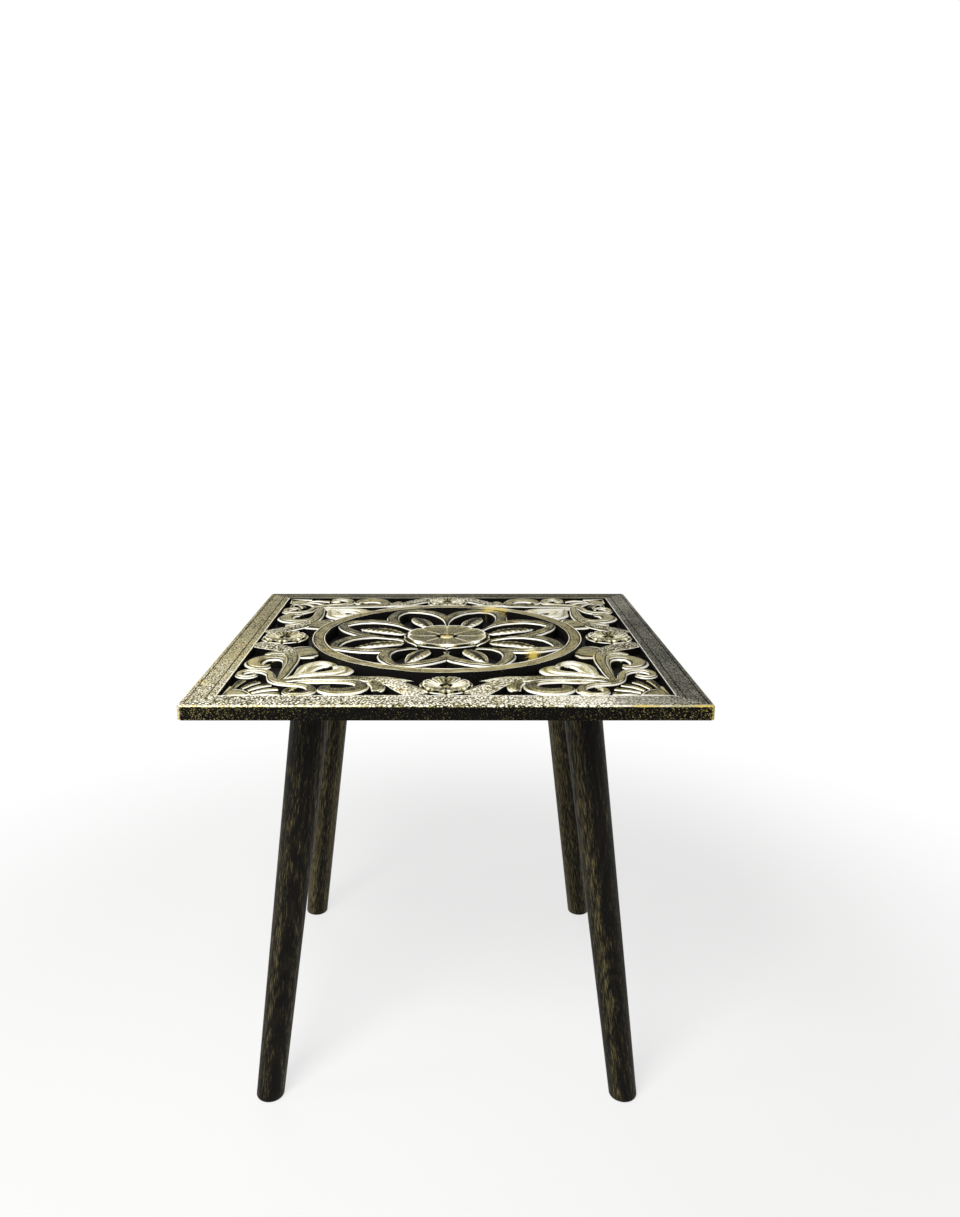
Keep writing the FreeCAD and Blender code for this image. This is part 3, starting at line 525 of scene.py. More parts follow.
# Corner scrolls. Each row is a point of a spine, by its distances from the two sides of the frame's
# corner, and the half width there. All three are shares of half the opening.
ACANTHUS = (
    (0.221, 0.221, 0.018), (0.302, 0.240, 0.023), (0.402, 0.246, 0.028), (0.523, 0.248, 0.034),
    (0.633, 0.230, 0.042), (0.742, 0.190, 0.047), (0.812, 0.112, 0.060), (0.892, 0.012, 0.064),
)
SLIM_LEAF = (
    (0.600, 0.244, 0.028), (0.690, 0.240, 0.030), (0.772, 0.230, 0.022), (0.850, 0.214, 0),
)
BROAD_LEAF = (
    (0.640, 0.185, 0.040), (0.668, 0.225, 0.095), (0.695, 0.270, 0.130), (0.712, 0.310, 0.120),
    (0.720, 0.345, 0.070),
)
HOOK_LEAF = (
    (0.617, 0.238, 0.024), (0.668, 0.192, 0.032), (0.694, 0.135, 0.036), (0.687, 0.082, 0.028),
)
C_SCROLL = (
    (0.291, 0.232, 0.015), (0.392, 0.224, 0.020), (0.492, 0.226, 0.024), (0.578, 0.208, 0.029),
    (0.618, 0.155, 0.036), (0.598, 0.092, 0.045), (0.540, 0.062, 0.053), (0.480, 0.074, 0.046),
    (0.450, 0.116, 0.032), (0.476, 0.148, 0.022),
)
SNAIL = (
    (0.212, 0.224, 0.026), (0.248, 0.198, 0.025), (0.292, 0.184, 0.024), (0.345, 0.170, 0.024),
    (0.388, 0.131, 0.026), (0.397, 0.075, 0.026), (0.362, 0.033, 0.024), (0.312, 0.033, 0.021),
    (0.286, 0.070, 0.018), (0.307, 0.106, 0.015), (0.337, 0.095, 0.013),
)
LOBE = (
    (0.236, 0.236, 0.020), (0.302, 0.296, 0.028), (0.385, 0.322, 0.046), (0.460, 0.342, 0.060),
    (0.506, 0.388, 0.059), (0.490, 0.431, 0.047), (0.452, 0.442, 0.032),
)
BUD = (
    (0.231, 0.231, 0.023), (0.302, 0.302, 0.030), (0.362, 0.362, 0.025), (0.412, 0.412, 0),
)
# A strap's rows, its heights at root, middle and end in millimetres, and its carving
CORNER_STRAPS = (
    (ACANTHUS, (8.6, 11.2, 9.2), {
        "wall": 0.88, "flutes": 3, "groove": 0.02, "outline": 1, "gilt": 0, "fade": 1, "strip_side": 1,
    }),
    (HOOK_LEAF, (9.6, 10.4, 8.0), {"wall": 0.76, "outline": 1, "gilt": 0.14, "round_end": 1}),
    (C_SCROLL, (8.6, 10.4, 9.8), {"wall": 0.74, "outline": 1, "gilt": 0.08, "round_end": 1}),
    (SNAIL, (9.4, 9.6, 10.2), {"wall": 0.74, "outline": 1, "gilt": 0.12, "round_end": 1}),
    (LOBE, (8.2, 10.4, 9.4), {
        "wall": 0.72, "flutes": 2, "groove": 0.14, "outline": 0.7, "gilt": 0.5, "round_end": 1,
    }),
)
LEAF_CARVING = {"wall": 0.88, "flutes": 3, "groove": 0.03, "outline": 1, "gilt": 0.14}
BUD_CARVING = {"wall": 0.74, "flutes": 1, "groove": 0.14, "gilt": 0.4}

# Added gold, and share of the edge line's depth: away from the broad leaf, then beside it
SIDE_GILT = (-0.05, 0.09)
SIDE_OUTLINE = (0.4, 1)


def corner_spine(rows, heights, carving, mirrored):
    """One strap of a corner, or its mirror image across the corner's diagonal."""
    points = []
    for first, second, half in rows:
        if mirrored:
            first, second = second, first
        points.append(((first - 1) * OPENING_HALF, (second - 1) * OPENING_HALF))
    if mirrored:
        carving = dict(carving, strip_side=-carving.get("strip_side", 0))
    return {
        "points": points,
        "half_widths": [SCROLL_SHARE * half * OPENING_HALF for first, second, half in rows],
        "heights": swell(len(rows), *heights),
        "carving": carving,
    }


def corner_spines(broad_first):
    """One corner's scrolls. Beside the broad leaf they have a deeper edge line and more gold."""
    spines = [
        corner_spine(BUD, (7.6, 9.4, 5.0), BUD_CARVING, False),
        corner_spine(BROAD_LEAF, (8.8, 10.6, 9.4), LEAF_CARVING, not broad_first),
        corner_spine(SLIM_LEAF, (10.4, 10.8, 8.6), LEAF_CARVING, broad_first),
    ]
    for rows, heights, carving in CORNER_STRAPS:
        for mirrored in (False, True):
            beside_broad = mirrored != broad_first
            own = dict(carving, gilt=carving["gilt"] + SIDE_GILT[beside_broad])
            own["outline"] = carving["outline"] * SIDE_OUTLINE[beside_broad]
            spines.append(corner_spine(rows, heights, own, mirrored))
    return spines


# Corner fan: a quarter hub with a raised edge along the frame, and ribs that spread from it
def fan_spines():
    spines = []
    inset = -OPENING_HALF + FAN_INSET

    def add(polar, half_widths, heights, carving):
        points = []
        for reach, degrees in polar:
            angle = math.radians(degrees)
            points.append((inset + reach * math.cos(angle), inset + reach * math.sin(angle)))
        spines.append({
            "points": points, "half_widths": half_widths, "heights": heights, "carving": carving,
        })

    count = 9
    sweep = [(FAN_HUB / 2, 90 * number / (count - 1)) for number in range(count)]
    hub_carving = {"wall": 0.9, "hollow": 0.2, "outline": 1, "gilt": 0.26}
    add(sweep, [FAN_HUB / 2 - 0.1 * MM] * count, [6.8 * MM] * count, hub_carving)
    for degrees in (4.4, 85.6):
        add(
            [(0.5 * MM, degrees), (FAN_HUB / 2, degrees), (FAN_HUB, degrees)],
            [0.4 * MM, 1.3 * MM, 1.9 * MM], [8.0 * MM] * 3, {"wall": 0.82, "gilt": 0.4},
        )
    for number in range(FAN_RIBS):
        degrees = 90 * (number + 0.5) / FAN_RIBS
        add(
            [(FAN_HUB + 0.4 * MM, degrees), (37 * MM, degrees), (FAN_RADIUS - FAN_INSET, degrees)],
            [2.0 * MM, 3.1 * MM, 3.9 * MM], swell(3, 7.0, 8.0, 7.4),
            {"wall": 0.84, "flutes": 1, "groove": 0.12, "gilt": 0.08},
        )
    return spines


# Medallion: a ring, and eight open petals with a veined spear leaf in each
def almond(outline, share):
    """A point on the upper arc of an almond that lies on the x axis."""
    base, tip, half = outline
    middle = (base + tip) / 2
    span = (tip - base) / 2
    radius = (span * span + half * half) / (2 * half)
    limit = math.asin(span / radius)
    angle = limit * (2 * share - 1)
    return middle + radius * math.sin(angle), radius * math.cos(angle) - radius + half


def ring_spines():
    count = 72
    middle = RING_OUTER - RING_WIDTH / 2
    angles = [FULL_TURN * number / count for number in range(count)]
    return [{
        "points": [(middle * math.cos(angle), middle * math.sin(angle)) for angle in angles],
        "half_widths": [RING_WIDTH / 2] * count,
        "heights": [12.8 * MM] * count,
        "carving": {"wall": 0.94, "hollow": 0.75, "outline": 0.8, "gilt": 0.05},
        "closed": True,
    }]


def petal_spines():
    count = 33
    spines = []
    for hand in (1, -1):
        points = []
        across = []
        for number in range(count):
            share = number / (count - 1)
            outer_x, outer_y = almond(PETAL_OUTLINE, share)
            inner_x, inner_y = almond(PETAL_HOLE, share)
            points.append(((outer_x + inner_x) / 2, hand * (outer_y + inner_y) / 2))
            across.append(((outer_x - inner_x) / 2, hand * (outer_y - inner_y) / 2))
        spines.append({
            "points": points,
            "across": across,
            # Not seen: the arrows across give the petal's width
            "half_widths": [5 * MM] * count,
            "heights": swell(count, 2.2, 12.0, 12.7),
            "carving": {"wall": 0.82, "outline": 0.8, "gilt": -0.02},
        })
    return spines


def spear_spines():
    count = 15
    base, tip = SPEAR_OUTLINE[:2]
    rows = [almond(SPEAR_OUTLINE, number / (count - 1)) for number in range(count)]
    return [{
        "points": [(x, 0) for x, y in rows],
        "half_widths": [y * between((x - base) / (tip - base), *SPEAR_FULLNESS) for x, y in rows],
        "heights": swell(count, 8.0, 11.4, 8.0),
        "carving": {"wall": 0.82, "flutes": 1, "groove": 0.14, "veins": 0.035, "gilt": 0.1},
    }]


# Paint
def paint(code):
    """A colour as a painter would pick it, #rrggbb, in the linear values that shaders take."""
    shades = []
    for place in (0, 2, 4):
        value = int(code[place:place + 2], 16) / 255
        shades.append(value / 12.92 if value <= 0.04045 else ((value + 0.055) / 1.055) ** 2.4)
    return (*shades, 1)


BLACK = paint("0b0a08")
OLIVE_GOLD = paint("8a8150")
CHAMPAGNE = paint("c3bb8d")
# Near white: the heaviest gold, also used as a painted highlight
PALE_GOLD_AND_HIGHLIGHT = paint("f8f6ec")
YELLOW_GOLD = paint("d9bf5e")
LEG_DARK = paint("080705")
LEG_BROWN = paint("14100a")
# Gold dust in the legs' grain, also used for their painted sheen
LEG_DUST_AND_SHEEN = paint("857a52")
GROUND_DARK = paint("060504")
GROUND_BROWN = paint("14110c")
BLOCK_DARK = paint("080706")
BLOCK_BROWN = paint("2b2318")
ZINC_DARK = paint("8f9194")
ZINC_PALE = paint("c3c5c6")
PAPER = paint("f2f1ee")
UNLIT = (0, 0, 0, 1)
WHITE = (1, 1, 1, 1)


def mixed(tree, share, first, second):
    node = tree.nodes.new("ShaderNodeMix")
    node.data_type = "RGBA"
    feed(tree, node.inputs["Factor"], share)
    colours = [socket for socket in node.inputs if socket.type == "RGBA"]
    feed(tree, colours[0], first)
    feed(tree, colours[1], second)
    results = [socket for socket in node.outputs if socket.type == "RGBA"]
    return Reading(tree, results[0])


def dry_brush_group():
    """Gold dragged over black with a nearly dry brush: it catches where the surface lifts, and its
    palest step is near white, a painted highlight.
    """
    tree, given = new_tree("dry_brush", "ShaderNodeTree", (
        ("Lift", "Float"), ("Place", "Vector"), ("Speck scale", "Float"), ("Break up", "Float"),
        ("Yellow", "Float"), ("Tint", "Float"),
    ), (("Colour", "Color"), ("Gold", "Float"), ("Roughness", "Float"), ("Height", "Float")))
    place = given["Place"]
    broken = eased(grainy(place, given["Speck scale"], 3.0, 0.7), 0.4, 0.6)
    feeds = {"Vector": place, "Scale": given["Speck scale"] * 0.8}
    dots = 1 - eased(placed(tree, "ShaderNodeTexVoronoi", feeds), 0.25, 0.65)
    speck = broken * 0.45 + dots * 0.65 - 0.5
    patch = grainy(place, 28.0, 2.0) - 0.5
    touch = given["Lift"] + speck * given["Break up"] + patch * 0.22
    gold = eased(touch, 0.22, 0.6)
    bright = eased(touch, 0.58, 0.98)
    # The palest step is the heaviest gold and also a painted highlight, near white where light would
    # shine
    pale_and_highlight = eased(touch, 0.9, 1.25)
    warm = held(eased(grainy(place, 30.0, 1.0), 0.45, 0.75) + given["Yellow"] - 1, 0, 1)
    warm = held(warm + given["Tint"], 0, 1)
    colour = mixed(tree, gold, BLACK, OLIVE_GOLD)
    colour = mixed(tree, bright, colour, CHAMPAGNE)
    colour = mixed(tree, pale_and_highlight, colour, PALE_GOLD_AND_HIGHLIGHT)
    colour = mixed(tree, warm * gold, colour, YELLOW_GOLD)
    return finish_tree(tree, {
        "Colour": colour, "Gold": gold, "Roughness": 0.6 - 0.24 * gold + speck * 0.16,
        "Height": speck,
    })


def brush_marks_group():
    """Fine streaks along a direction, as a brush or a plane leaves them."""
    tree, given = new_tree("brush_marks", "ShaderNodeTree", (
        ("Along", "Float"), ("Across", "Float"), ("Other", "Float"),
        ("Pitch", "Float"), ("Length", "Float"),
    ), (("Streak", "Float"),))
    pitch = given["Pitch"]
    place = joined(
        tree, given["Along"] / given["Length"], given["Across"] / pitch, given["Other"] / pitch,
    )
    return finish_tree(tree, {"Streak": grainy(place, 1.0, 3.0, 0.6)})


DRY_BRUSH = dry_brush_group()
BRUSH_MARKS = brush_marks_group()


def new_finish(name):
    material = bpy.data.materials.new(name)
    material.use_nodes = True
    tree = material.node_tree
    shader = tree.nodes["Principled BSDF"]
    return material, tree, shader


def used(tree, group, feeds):
    node = tree.nodes.new("ShaderNodeGroup")
    node.node_tree = group
    for name, value in feeds.items():
        feed(tree, node.inputs[name], value)
    return {socket.name: Reading(tree, socket) for socket in node.outputs}


def bumped(tree, shader, height, depth):
    feeds = {"Height": height, "Distance": depth}
    feed(tree, shader.inputs["Normal"], placed(tree, "ShaderNodeBump", feeds))


def near_to(x, y, spot, full, gone):
    """1 as far as full from a spot in plan, easing to 0 at gone."""
    return 1 - eased(reach_of(x - spot[0], y - spot[1]), full, gone)


def object_place(tree):
    return placed(tree, "ShaderNodeTexCoord", output="Object")


def surface_normal(tree):
    return placed(tree, "ShaderNodeNewGeometry", output="Normal")


def vertex_value(tree, name, output="Fac"):
    """What the carving stored on its vertices."""
    return placed(tree, "ShaderNodeAttribute", output=output, attribute_name=name)


def gilded(tree, shader, gold, colour, sheen):
    feed(tree, shader.inputs["Base Color"], colour)
    feed(tree, shader.inputs["Metallic"], gold["Gold"] * GOLD_METALLIC)
    feed(tree, shader.inputs["Roughness"], gold["Roughness"])
    shader.inputs["Specular IOR Level"].default_value = sheen


def carving_finish():
    material, tree, shader = new_finish("carving_gold_over_black")
    crest = vertex_value(tree, "crest")
    stipple = vertex_value(tree, "stipple")
    side, along = parts_of(vertex_value(tree, "flow", "Vector"))[:2]
    marks = used(tree, BRUSH_MARKS, {
        "Along": along, "Across": side, "Other": 0.0, "Pitch": 1.5 * MM, "Length": 24 * MM,
    })["Streak"]
    place = object_place(tree)
    x, y = parts_of(place)[:2]
    normal_y, normal_z = parts_of(surface_normal(tree))[1:]

    # Painted sheen: slopes that face front are lightened, and those that face back a little less, where
    # light would catch them
    front_slope_sheen = eased(-normal_y, 0.14, 0.5) * 0.85
    back_slope_sheen = eased(normal_y, 0.15, 0.5) * 0.7

    # It was fuller to the right, at the back and on the medallion's front half, and drier along the
    # front, but not at the left fan
    fuller = 0.08 * eased(x, -40 * MM, 80 * MM) + 0.12 * eased(y, 80 * MM, 170 * MM)
    front = eased(-y, 130 * MM, 160 * MM)
    fan_end = eased(abs(x), 135 * MM, 155 * MM)
    drier_at_fan = between(x > 0, -0.06, 0.16)
    fuller = fuller - front * between(fan_end, 0.1, drier_at_fan)
    from_middle = reach_of(x, y)
    in_medallion = 1 - (from_middle > RING_OUTER)
    fuller = fuller + 0.1 * in_medallion * eased(-y, 30 * MM, 70 * MM)
    raised = eased(crest, 0.1, 0.5)
    facing_up = eased(normal_z, 0.25, 0.5)
    lift = (crest + (front_slope_sheen + back_slope_sheen + fuller) * raised) * facing_up
    lift = lift + (marks - 0.5) * 0.6

    # A yellower gold ran onto the ring in one place, and in strokes down a petal
    ring_run = near_to(x, y, RING_RUN, 10 * MM, 24 * MM)
    petal_run = near_to(x, y, PETAL_RUN, 5 * MM, 16 * MM) * eased(marks, 0.44, 0.6)
    run = held(ring_run + petal_run, 0, 1)
    lift = lift + ring_run * 0.3 + petal_run * 0.6

    # Stippled leaf ends are more broken up, and hold more gold at the front
    stipple_lift = between(eased(-y, 110 * MM, 150 * MM), 0.6, 0.9)
    lift = between(stipple, lift, stipple_lift)
    speck_scale = between(stipple > 0.5, FINE_SPECKS, COARSE_SPECKS)
    on_ring = in_medallion * (from_middle > RING_OUTER - RING_WIDTH)
    on_button = 1 - eased(from_middle, 6 * MM, 12 * MM)
    gold = used(tree, DRY_BRUSH, {
        "Lift": lift, "Place": place, "Speck scale": speck_scale,
        "Break up": between(stipple, 0.38, 1.4), "Yellow": 0.25 + run * 1.3,
        "Tint": on_ring * 0.12 + on_button * 0.45,
    })
    gilded(tree, shader, gold, gold["Colour"], 0.06)
    bumped(tree, shader, gold["Height"] + marks, 0.25 * MM)
    return material


def rail_finish():
    material, tree, shader = new_finish("rail_gold_over_black")
    place = object_place(tree)
    x, y, z = parts_of(place)
    right = x > 0
    back = y > 0
    far = worked("MAXIMUM", abs(x), abs(y))
    near = worked("MINIMUM", abs(x), abs(y))
    side_rail = abs(x) > abs(y)
    along = between(side_rail, x, y)

    def by_rail(on_front, on_back, on_left, on_right):
        return between(side_rail, between(back, on_front, on_back), between(right, on_left, on_right))

    # How far in from the outer edge, which turns a round corner
    past_far = far - (TABLE_HALF - CORNER_ROUND)
    past_near = worked("MAXIMUM", near - (TABLE_HALF - CORNER_ROUND), 0)
    round_far = worked("MAXIMUM", past_far, 0)
    past = reach_of(round_far, past_near) + worked("MINIMUM", past_far, 0)
    edge = CORNER_ROUND - past
    marks = used(tree, BRUSH_MARKS, {
        "Along": along, "Across": far, "Other": z, "Pitch": 0.8 * MM, "Length": 9 * MM,
    })["Streak"]

    # The rail's top, its outer arris and inner lip, the scored lines, and the table's upright corners.
    # The front rail's arris holds gold only towards its ends.
    on_top = eased(z, RAIL_TOP - 2.0 * MM, RAIL_TOP - 0.6 * MM)
    arris = eased(z, RAIL_TOP - 1.8 * MM, RAIL_TOP - 0.7 * MM) * (1 - eased(edge, 1.2 * MM, 2.2 * MM))
    front_line = eased(-x, 40 * MM, 75 * MM) + eased(x, 128 * MM, 148 * MM)
    arris = arris * by_rail(front_line, 1, 1, 1)
    inner = eased(edge, RAIL_WIDTH - 1.5 * MM, RAIL_WIDTH - 0.9 * MM) * on_top
    inner = inner * (1 - eased(edge, RAIL_WIDTH - 0.1 * MM, RAIL_WIDTH))
    score = eased(RAIL_TOP - z, 0.05 * MM, 0.5 * MM) * eased(edge, 3.2 * MM, 4.2 * MM)
    corner = eased(near, TABLE_HALF - 4.5 * MM, TABLE_HALF - 1 * MM) * (1 - on_top)

    # Gold load by rail, partly painted light and shade: the front rail holds most and the left rail is
    # lighter towards the front, while the right and back rails and the front rail's drier right end are
    # darkened
    end = x + (grainy(place, 90.0) - 0.5) * 14 * MM
    dry_and_shaded_end = eased(end, 132 * MM, 152 * MM)
    front_load_and_shade = 0.82 - 0.16 * eased(-x, 20 * MM, 120 * MM) + 0.36 * eased(x, 50 * MM, 105 * MM)
    front_load_and_shade = front_load_and_shade - 0.5 * dry_and_shaded_end - 0.2 * eased(end, 150 * MM, 215 * MM)
    left_load_and_light = between(eased(y, -200 * MM, 140 * MM), 0.73, 0.47)
    right_load_and_shade = between(eased(y, 40 * MM, 170 * MM), 0.35, 0.46)
    gold_load_and_shade = by_rail(front_load_and_shade, 0.34, left_load_and_light, right_load_and_shade)
    front_break = between(dry_and_shaded_end, 1.9, 0.7)
    left_break = between(eased(y, -200 * MM, -60 * MM), 1.7, 0.9)
    break_up = by_rail(front_break, 0.3, left_break, 0.4)
    streaks = (marks - 0.5) * between(side_rail, 0.25, 0.6)
    on_face = (1 - on_top) * between(eased(near, 90 * MM, 210 * MM), -0.06, 0.13)
    lift = on_top * gold_load_and_shade + arris * 0.45 + inner * 0.7 - score * 0.4
    lift = lift + corner * between(right, 1.05, 0.7) + streaks + on_face
    front_top = (1 - side_rail) * (1 - back) * on_top
    yellow_arris = arris * eased(near, 60 * MM, 160 * MM) * 0.9
    gold = used(tree, DRY_BRUSH, {
        "Lift": lift, "Place": place,
        "Speck scale": between(front_top > 0.5, FINE_SPECKS, COARSE_SPECKS),
        "Break up": between(on_top, 0.8, break_up) * (1 - 0.7 * arris),
        "Yellow": 0.22 + corner * 1.3 + yellow_arris + side_rail * 0.12,
        "Tint": side_rail * (1 - right) * 0.14,
    })

    # Painted shade: the gold is greyer on the right rail's top, and on the front rail's drier, darker
    # right end
    grey_and_shade = side_rail * right * on_top + front_top * dry_and_shaded_end * (1 - arris)
    feeds = {"Color": gold["Colour"], "Saturation": between(grey_and_shade, 1, 0.5)}
    gilded(tree, shader, gold, placed(tree, "ShaderNodeHueSaturation", feeds), 0.05)
    bumped(tree, shader, gold["Height"] + marks * 0.7, 0.3 * MM)
    return material


def wood_figure_group():
    """Growth rings about a pith that leans to the piece, with pores drawn out along it."""
    tree, given = new_tree("wood_figure", "ShaderNodeTree", (
        ("Side", "Float"), ("Depth", "Float"), ("Along", "Float"), ("Piece", "Float"),
    ), (("Rings", "Float"), ("Pores", "Float")))
    side = given["Side"]
    depth = given["Depth"]
    along = given["Along"]
    loose = joined(tree, side * 9.0, depth * 9.0, along * 5.0 + given["Piece"])
    drift = (grainy(loose, 2.0, 1.0) - 0.5) * 16 * MM
    pith_side = side + along * 0.05 - 9 * MM + drift
    pith_depth = depth - along * 0.07 + 26 * MM + drift
    reach = reach_of(pith_side, pith_depth)
    rings = 0.5 + 0.5 * worked("SINE", reach * FULL_TURN / GROWTH_RING)
    drawn_out = along / PORE_LENGTH + given["Piece"]
    drawn = joined(tree, side / PORE_WIDTH, depth / PORE_WIDTH, drawn_out)
    pores = grainy(drawn, 1.0, 3.0, 0.7)
    return finish_tree(tree, {"Rings": rings, "Pores": pores})


WOOD_FIGURE = wood_figure_group()


def leg_finish():
    material, tree, shader = new_finish("leg_black_with_gold_in_the_grain")
    x, y, z = parts_of(object_place(tree))
    back = y > 0
    axis = LEG_FOOT_PLACE - z * (LEG_SPLAY / UNDERSIDE)
    piece = (x > 0) * 3.7 + back * 8.3
    side = abs(x) - axis
    depth = abs(y) - axis
    wood = used(tree, WOOD_FIGURE, {"Side": side, "Depth": depth, "Along": z, "Piece": piece})
    band = grainy(joined(tree, side * 130, depth * 130, z * 4.0 + piece), 1.0, 1.0)
    grain_and_sheen = wood["Pores"] + (wood["Rings"] - 0.5) * 0.05 + (band - 0.5) * 0.24

    # Painted sheen and shade: more gold dust on what faces left and a little on what faces right, less
    # in a band right of the middle, as light falls on the legs. More on the back legs
    right = parts_of(surface_normal(tree))[0]
    shade_band = eased(right, -0.15, 0.1) * (1 - eased(right, 0.4, 0.65))
    grain_and_sheen = grain_and_sheen + 0.045 * eased(-right, 0.1, 0.5) - 0.05 * shade_band + 0.03 * eased(right, 0.5, 0.7)
    dust = eased(grain_and_sheen, between(back, 0.53, 0.44), between(back, 0.76, 0.7))
    brown = mixed(tree, wood["Rings"], LEG_DARK, LEG_BROWN)
    feed(tree, shader.inputs["Base Color"], mixed(tree, dust * 0.75, brown, LEG_DUST_AND_SHEEN))
    feed(tree, shader.inputs["Metallic"], dust * 0.3)
    feed(tree, shader.inputs["Roughness"], 0.55 - 0.15 * dust)
    shader.inputs["Specular IOR Level"].default_value = 0.1
    bumped(tree, shader, wood["Pores"] + wood["Rings"] * 0.3, 0.25 * MM)
    return material


def ground_finish():
    material, tree, shader = new_finish("ground_black")
    place = object_place(tree)
    x, y, z = parts_of(place)
    marks = used(tree, BRUSH_MARKS, {
        "Along": x, "Across": y, "Other": z, "Pitch": 1.2 * MM, "Length": 30 * MM,
    })["Streak"]
    dust = eased(grainy(place, 420.0, 2.0), 0.68, 0.78) * 0.3
    colour = mixed(tree, marks, GROUND_DARK, GROUND_BROWN)
    colour = mixed(tree, dust, colour, OLIVE_GOLD)
    feed(tree, shader.inputs["Base Color"], colour)
    feed(tree, shader.inputs["Roughness"], 0.62 + 0.2 * marks)
    shader.inputs["Specular IOR Level"].default_value = 0.12
    bumped(tree, shader, marks, 0.2 * MM)
    return material


def block_finish():
    material, tree, shader = new_finish("block_black")
    x, y, z = parts_of(object_place(tree))
    wood = used(tree, WOOD_FIGURE, {"Side": y, "Depth": z, "Along": x, "Piece": 5.0})
    colour = mixed(tree, wood["Pores"], BLOCK_DARK, BLOCK_BROWN)
    feed(tree, shader.inputs["Base Color"], colour)
    feed(tree, shader.inputs["Roughness"], 0.5 + 0.2 * wood["Pores"])
    shader.inputs["Specular IOR Level"].default_value = 0.3
    bumped(tree, shader, wood["Pores"], 0.2 * MM)
    return material


def zinc_finish():
    material, tree, shader = new_finish("zinc_steel")
    cloud = grainy(object_place(tree), 300.0, 3.0)
    feed(tree, shader.inputs["Base Color"], mixed(tree, cloud, ZINC_DARK, ZINC_PALE))
    feed(tree, shader.inputs["Roughness"], 0.3 + 0.25 * cloud)
    shader.inputs["Metallic"].default_value = 1.0
    bumped(tree, shader, cloud, 0.05 * MM)
    return material


# Carved pieces, each in the place of its node
STRAPS_TREE = carved_straps_tree()
FLOWER_TREE = carved_flower_tree()
CARVING_GOLD = carving_finish()

STRAP_SIZES = {
    "Step along": 1.3 * MM, "Points across": 25, "Ground level": GROUND,
    "Field half": OPENING_HALF - CARVE_FIT, "Ring radius": 0.0, "Rosette radius": 0.0,
    "Rosette place": SIDE_ROSETTE_PLACE, "Seam slope": 0.0, "Seam room": 1.0, "Tool wobble": 0.12,
    "Copies": 1, "First turn": 0.0, "Finish": CARVING_GOLD,
}

corner_sizes = dict(
    STRAP_SIZES,
    **{"Ring radius": RING_OUTER + CARVE_FIT, "Rosette radius": SIDE_ROSETTE_RADIUS + CARVE_FIT},
)
for quarter, corner in enumerate(CORNERS):
    turned = {"First turn": quarter * QUARTER_TURN}
    broad_first = quarter % 2 == 1
    carve(
        "scroll_carving_" + corner, spine_mesh("scroll_spines", corner_spines(broad_first)), STRAPS_TREE,
        dict(corner_sizes, **turned), ["scrolls_" + corner],
    )
    carve(
        "fan_carving_" + corner, spine_mesh("fan_spines", fan_spines()), STRAPS_TREE,
        dict(STRAP_SIZES, **turned), ["fan_" + corner],
    )

carve(
    "medallion_ring", spine_mesh("ring_spine", ring_spines()), STRAPS_TREE,
    dict(STRAP_SIZES, **{"Points across": 29, "Step along": 2.4 * MM}), ["medallion"],
)
petal_turns = {"Copies": PETALS, "First turn": math.pi / PETALS}
carve(
    "medallion_petals", spine_mesh("petal_spines", petal_spines()), STRAPS_TREE,
    dict(STRAP_SIZES, **petal_turns, **{
        "Points across": 33, "Seam slope": math.tan(math.pi / PETALS), "Seam room": -0.01 * MM,
    }), ["medallion"],
)
carve(
    "medallion_spear_leaves", spine_mesh("spear_spines", spear_spines()), STRAPS_TREE,
    dict(STRAP_SIZES, **petal_turns, **{"Step along": 0.7 * MM}), ["medallion"],
)

carve(
    "centre_flower", bpy.data.meshes.new("centre_flower_start"), FLOWER_TREE, {
        "Radius": ROSETTE_RADIUS, "Lobes": 8, "Rings": 61, "Points round": 257, "Notch": 0.07,
        "Upper share": 0.92, "Button share": 0.17, "Upper height": 12.4 * MM, "Lower height": 10.4 * MM,
        "Button height": 13.2 * MM, "Fluting": 0.01, "Seam depth": 0.04, "Seam shine": 0.4, "Dish": 0.1,
        "Rim width": 0.2, "Gilt": 0.4, "Lower gilt": 0.05,
        "Place": (0, 0, GROUND), "First turn": 0.0, "Finish": CARVING_GOLD,
    }, ["rosette_centre"],
)
for quarter, side in enumerate(SIDES):
    carve(
        "side_flower_" + side, bpy.data.meshes.new("side_flower_start"), FLOWER_TREE, {
            "Radius": SIDE_ROSETTE_RADIUS, "Lobes": 8, "Rings": 45, "Points round": 193, "Notch": 0.15,
            "Upper share": 0.88, "Button share": 0.15, "Upper height": 11.4 * MM,
            "Lower height": 9.6 * MM, "Button height": 10.2 * MM, "Fluting": 0.04, "Seam depth": 0.12,
            "Seam shine": -0.6, "Dish": 0.14, "Rim width": 0.5,
            "Gilt": 0.42 if side == "front" else 0.32, "Lower gilt": 0.5,
            "Place": (0, -SIDE_ROSETTE_PLACE, GROUND), "First turn": quarter * QUARTER_TURN,
            "Finish": CARVING_GOLD,
        }, ["rosette_" + side],
    )

# Finishes of the pieces kept from the part
RAIL_GOLD = rail_finish()
LEG_BLACK = leg_finish()
GROUND_BLACK = ground_finish()
BLOCK_BLACK = block_finish()
ZINC_STEEL = zinc_finish()
for name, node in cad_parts.items():
    finish = None
    if name.startswith("rail_"):
        finish = RAIL_GOLD
    elif name.startswith("leg_block_"):
        finish = BLOCK_BLACK
    elif name.startswith("leg_"):
        finish = LEG_BLACK
    elif name == "ground_board":
        finish = GROUND_BLACK
    elif name in ("hanger_bolts", "thread_inserts", "block_screws"):
        finish = ZINC_STEEL
    if finish:
        node.data.materials.clear()
        node.data.materials.append(finish)


# Studio
def seen_directly(tree):
    """1 where a surface is seen, also mirrored or through glass, and 0 where it only lights others."""
    rays = tree.nodes.new("ShaderNodeLightPath")
    seen = Reading(tree, rays.outputs["Is Camera Ray"]) + Reading(tree, rays.outputs["Is Glossy Ray"])
    return held(seen + Reading(tree, rays.outputs["Is Transmission Ray"]), 0, 1)


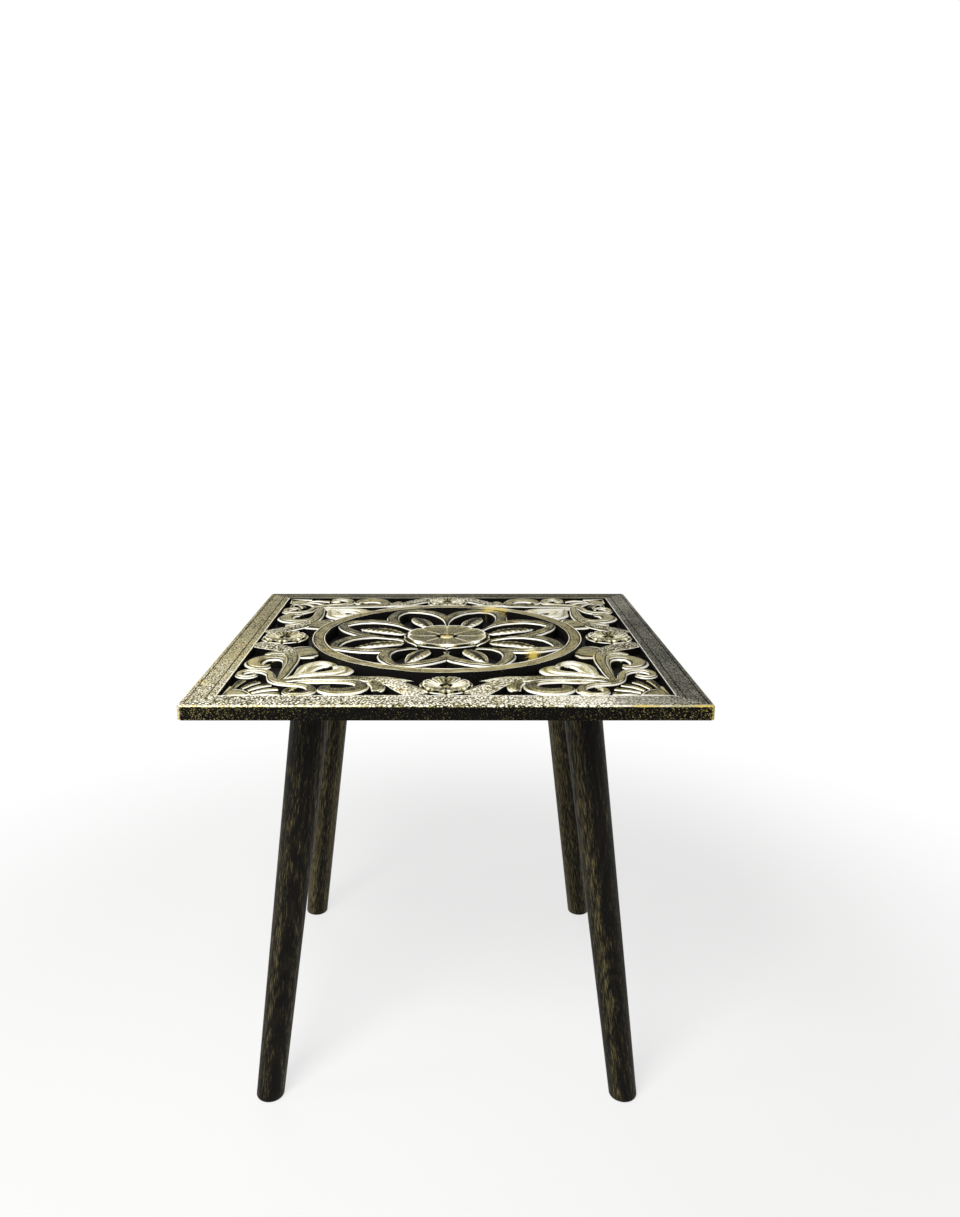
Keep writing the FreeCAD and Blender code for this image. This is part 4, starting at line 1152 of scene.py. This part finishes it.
def studio_sweep():
    """A pale floor that curves up into a backdrop."""
    rows = [(SWEEP_FRONT, 0.0), (SWEEP_BEND, 0.0)]
    for number in range(1, SWEEP_STEPS + 1):
        angle = QUARTER_TURN * number / SWEEP_STEPS
        rise = SWEEP_RADIUS - SWEEP_RADIUS * math.cos(angle)
        rows.append((SWEEP_BEND + SWEEP_RADIUS * math.sin(angle), rise))
    rows.append((SWEEP_BEND + SWEEP_RADIUS, SWEEP_TOP))
    points = []
    for y, z in rows:
        points.extend([(-SWEEP_HALF, y, z), (SWEEP_HALF, y, z)])
    faces = [(2 * n, 2 * n + 1, 2 * n + 3, 2 * n + 2) for n in range(len(rows) - 1)]
    mesh = bpy.data.meshes.new("studio_sweep")
    mesh.from_pydata(points, [], faces)
    mesh.shade_smooth()
    sweep = added("studio_sweep", mesh)
    material, tree, shader = new_finish("sweep_paper")
    x, y = parts_of(object_place(tree))[:2]
    away = eased(reach_of(x, y), 0.4, 1.0)
    white = seen_directly(tree) * between(away, 0.72, 1.0)
    feed(tree, shader.inputs["Base Color"], mixed(tree, white, PAPER, UNLIT))
    shader.inputs["Emission Color"].default_value = WHITE
    feed(tree, shader.inputs["Emission Strength"], white)
    shader.inputs["Roughness"].default_value = 0.9
    shader.inputs["Specular IOR Level"].default_value = 0.1
    mesh.materials.append(material)


def soft_light(name, place, aim, width, depth, power):
    light = bpy.data.lights.new(name, "AREA")
    light.shape = "RECTANGLE"
    light.size = width
    light.size_y = depth
    light.energy = power
    lamp = added(name, light)
    lamp.location = place
    toward = [end - start for start, end in zip(place, aim)]
    flat = math.hypot(toward[0], toward[1])
    lamp.rotation_euler = (math.atan2(flat, -toward[2]), 0, math.atan2(-toward[0], toward[1]))
    lamp.visible_camera = False


studio_sweep()
soft_light("key_light", (-0.35, -0.75, 1.15), (0, 0, 0.4), 0.5, 0.5, 14)
soft_light("back_light", (-0.5, 1.5, 1.2), (0, 0, 0.4), 1.2, 0.8, 5)
soft_light("left_light", (-1.3, -0.35, 0.45), (-0.1, 0, 0.25), 0.3, 0.9, 2.5)

world = bpy.data.worlds.new("studio_air")
bpy.context.scene.world = world
world.use_nodes = True
air = world.node_tree
backdrop = air.nodes["Background"]
backdrop.inputs["Color"].default_value = WHITE
feed(air, backdrop.inputs["Strength"], between(seen_directly(air), ROOM_LIGHT, 1.0))

# Camera
lens = bpy.data.cameras.new("photo_camera")
lens.sensor_width = SENSOR_WIDTH
lens.lens = FOCAL_LENGTH * SENSOR_WIDTH / PHOTO_HEIGHT
lens.shift_x = CENTRE_SHIFT / PHOTO_HEIGHT
viewer = added("photo_camera", lens)
viewer.location = CAMERA_PLACE
viewer.rotation_euler = (CAMERA_TILT, 0, 0)
bpy.context.scene.camera = viewer
bpy.context.scene.view_settings.view_transform = "Standard"
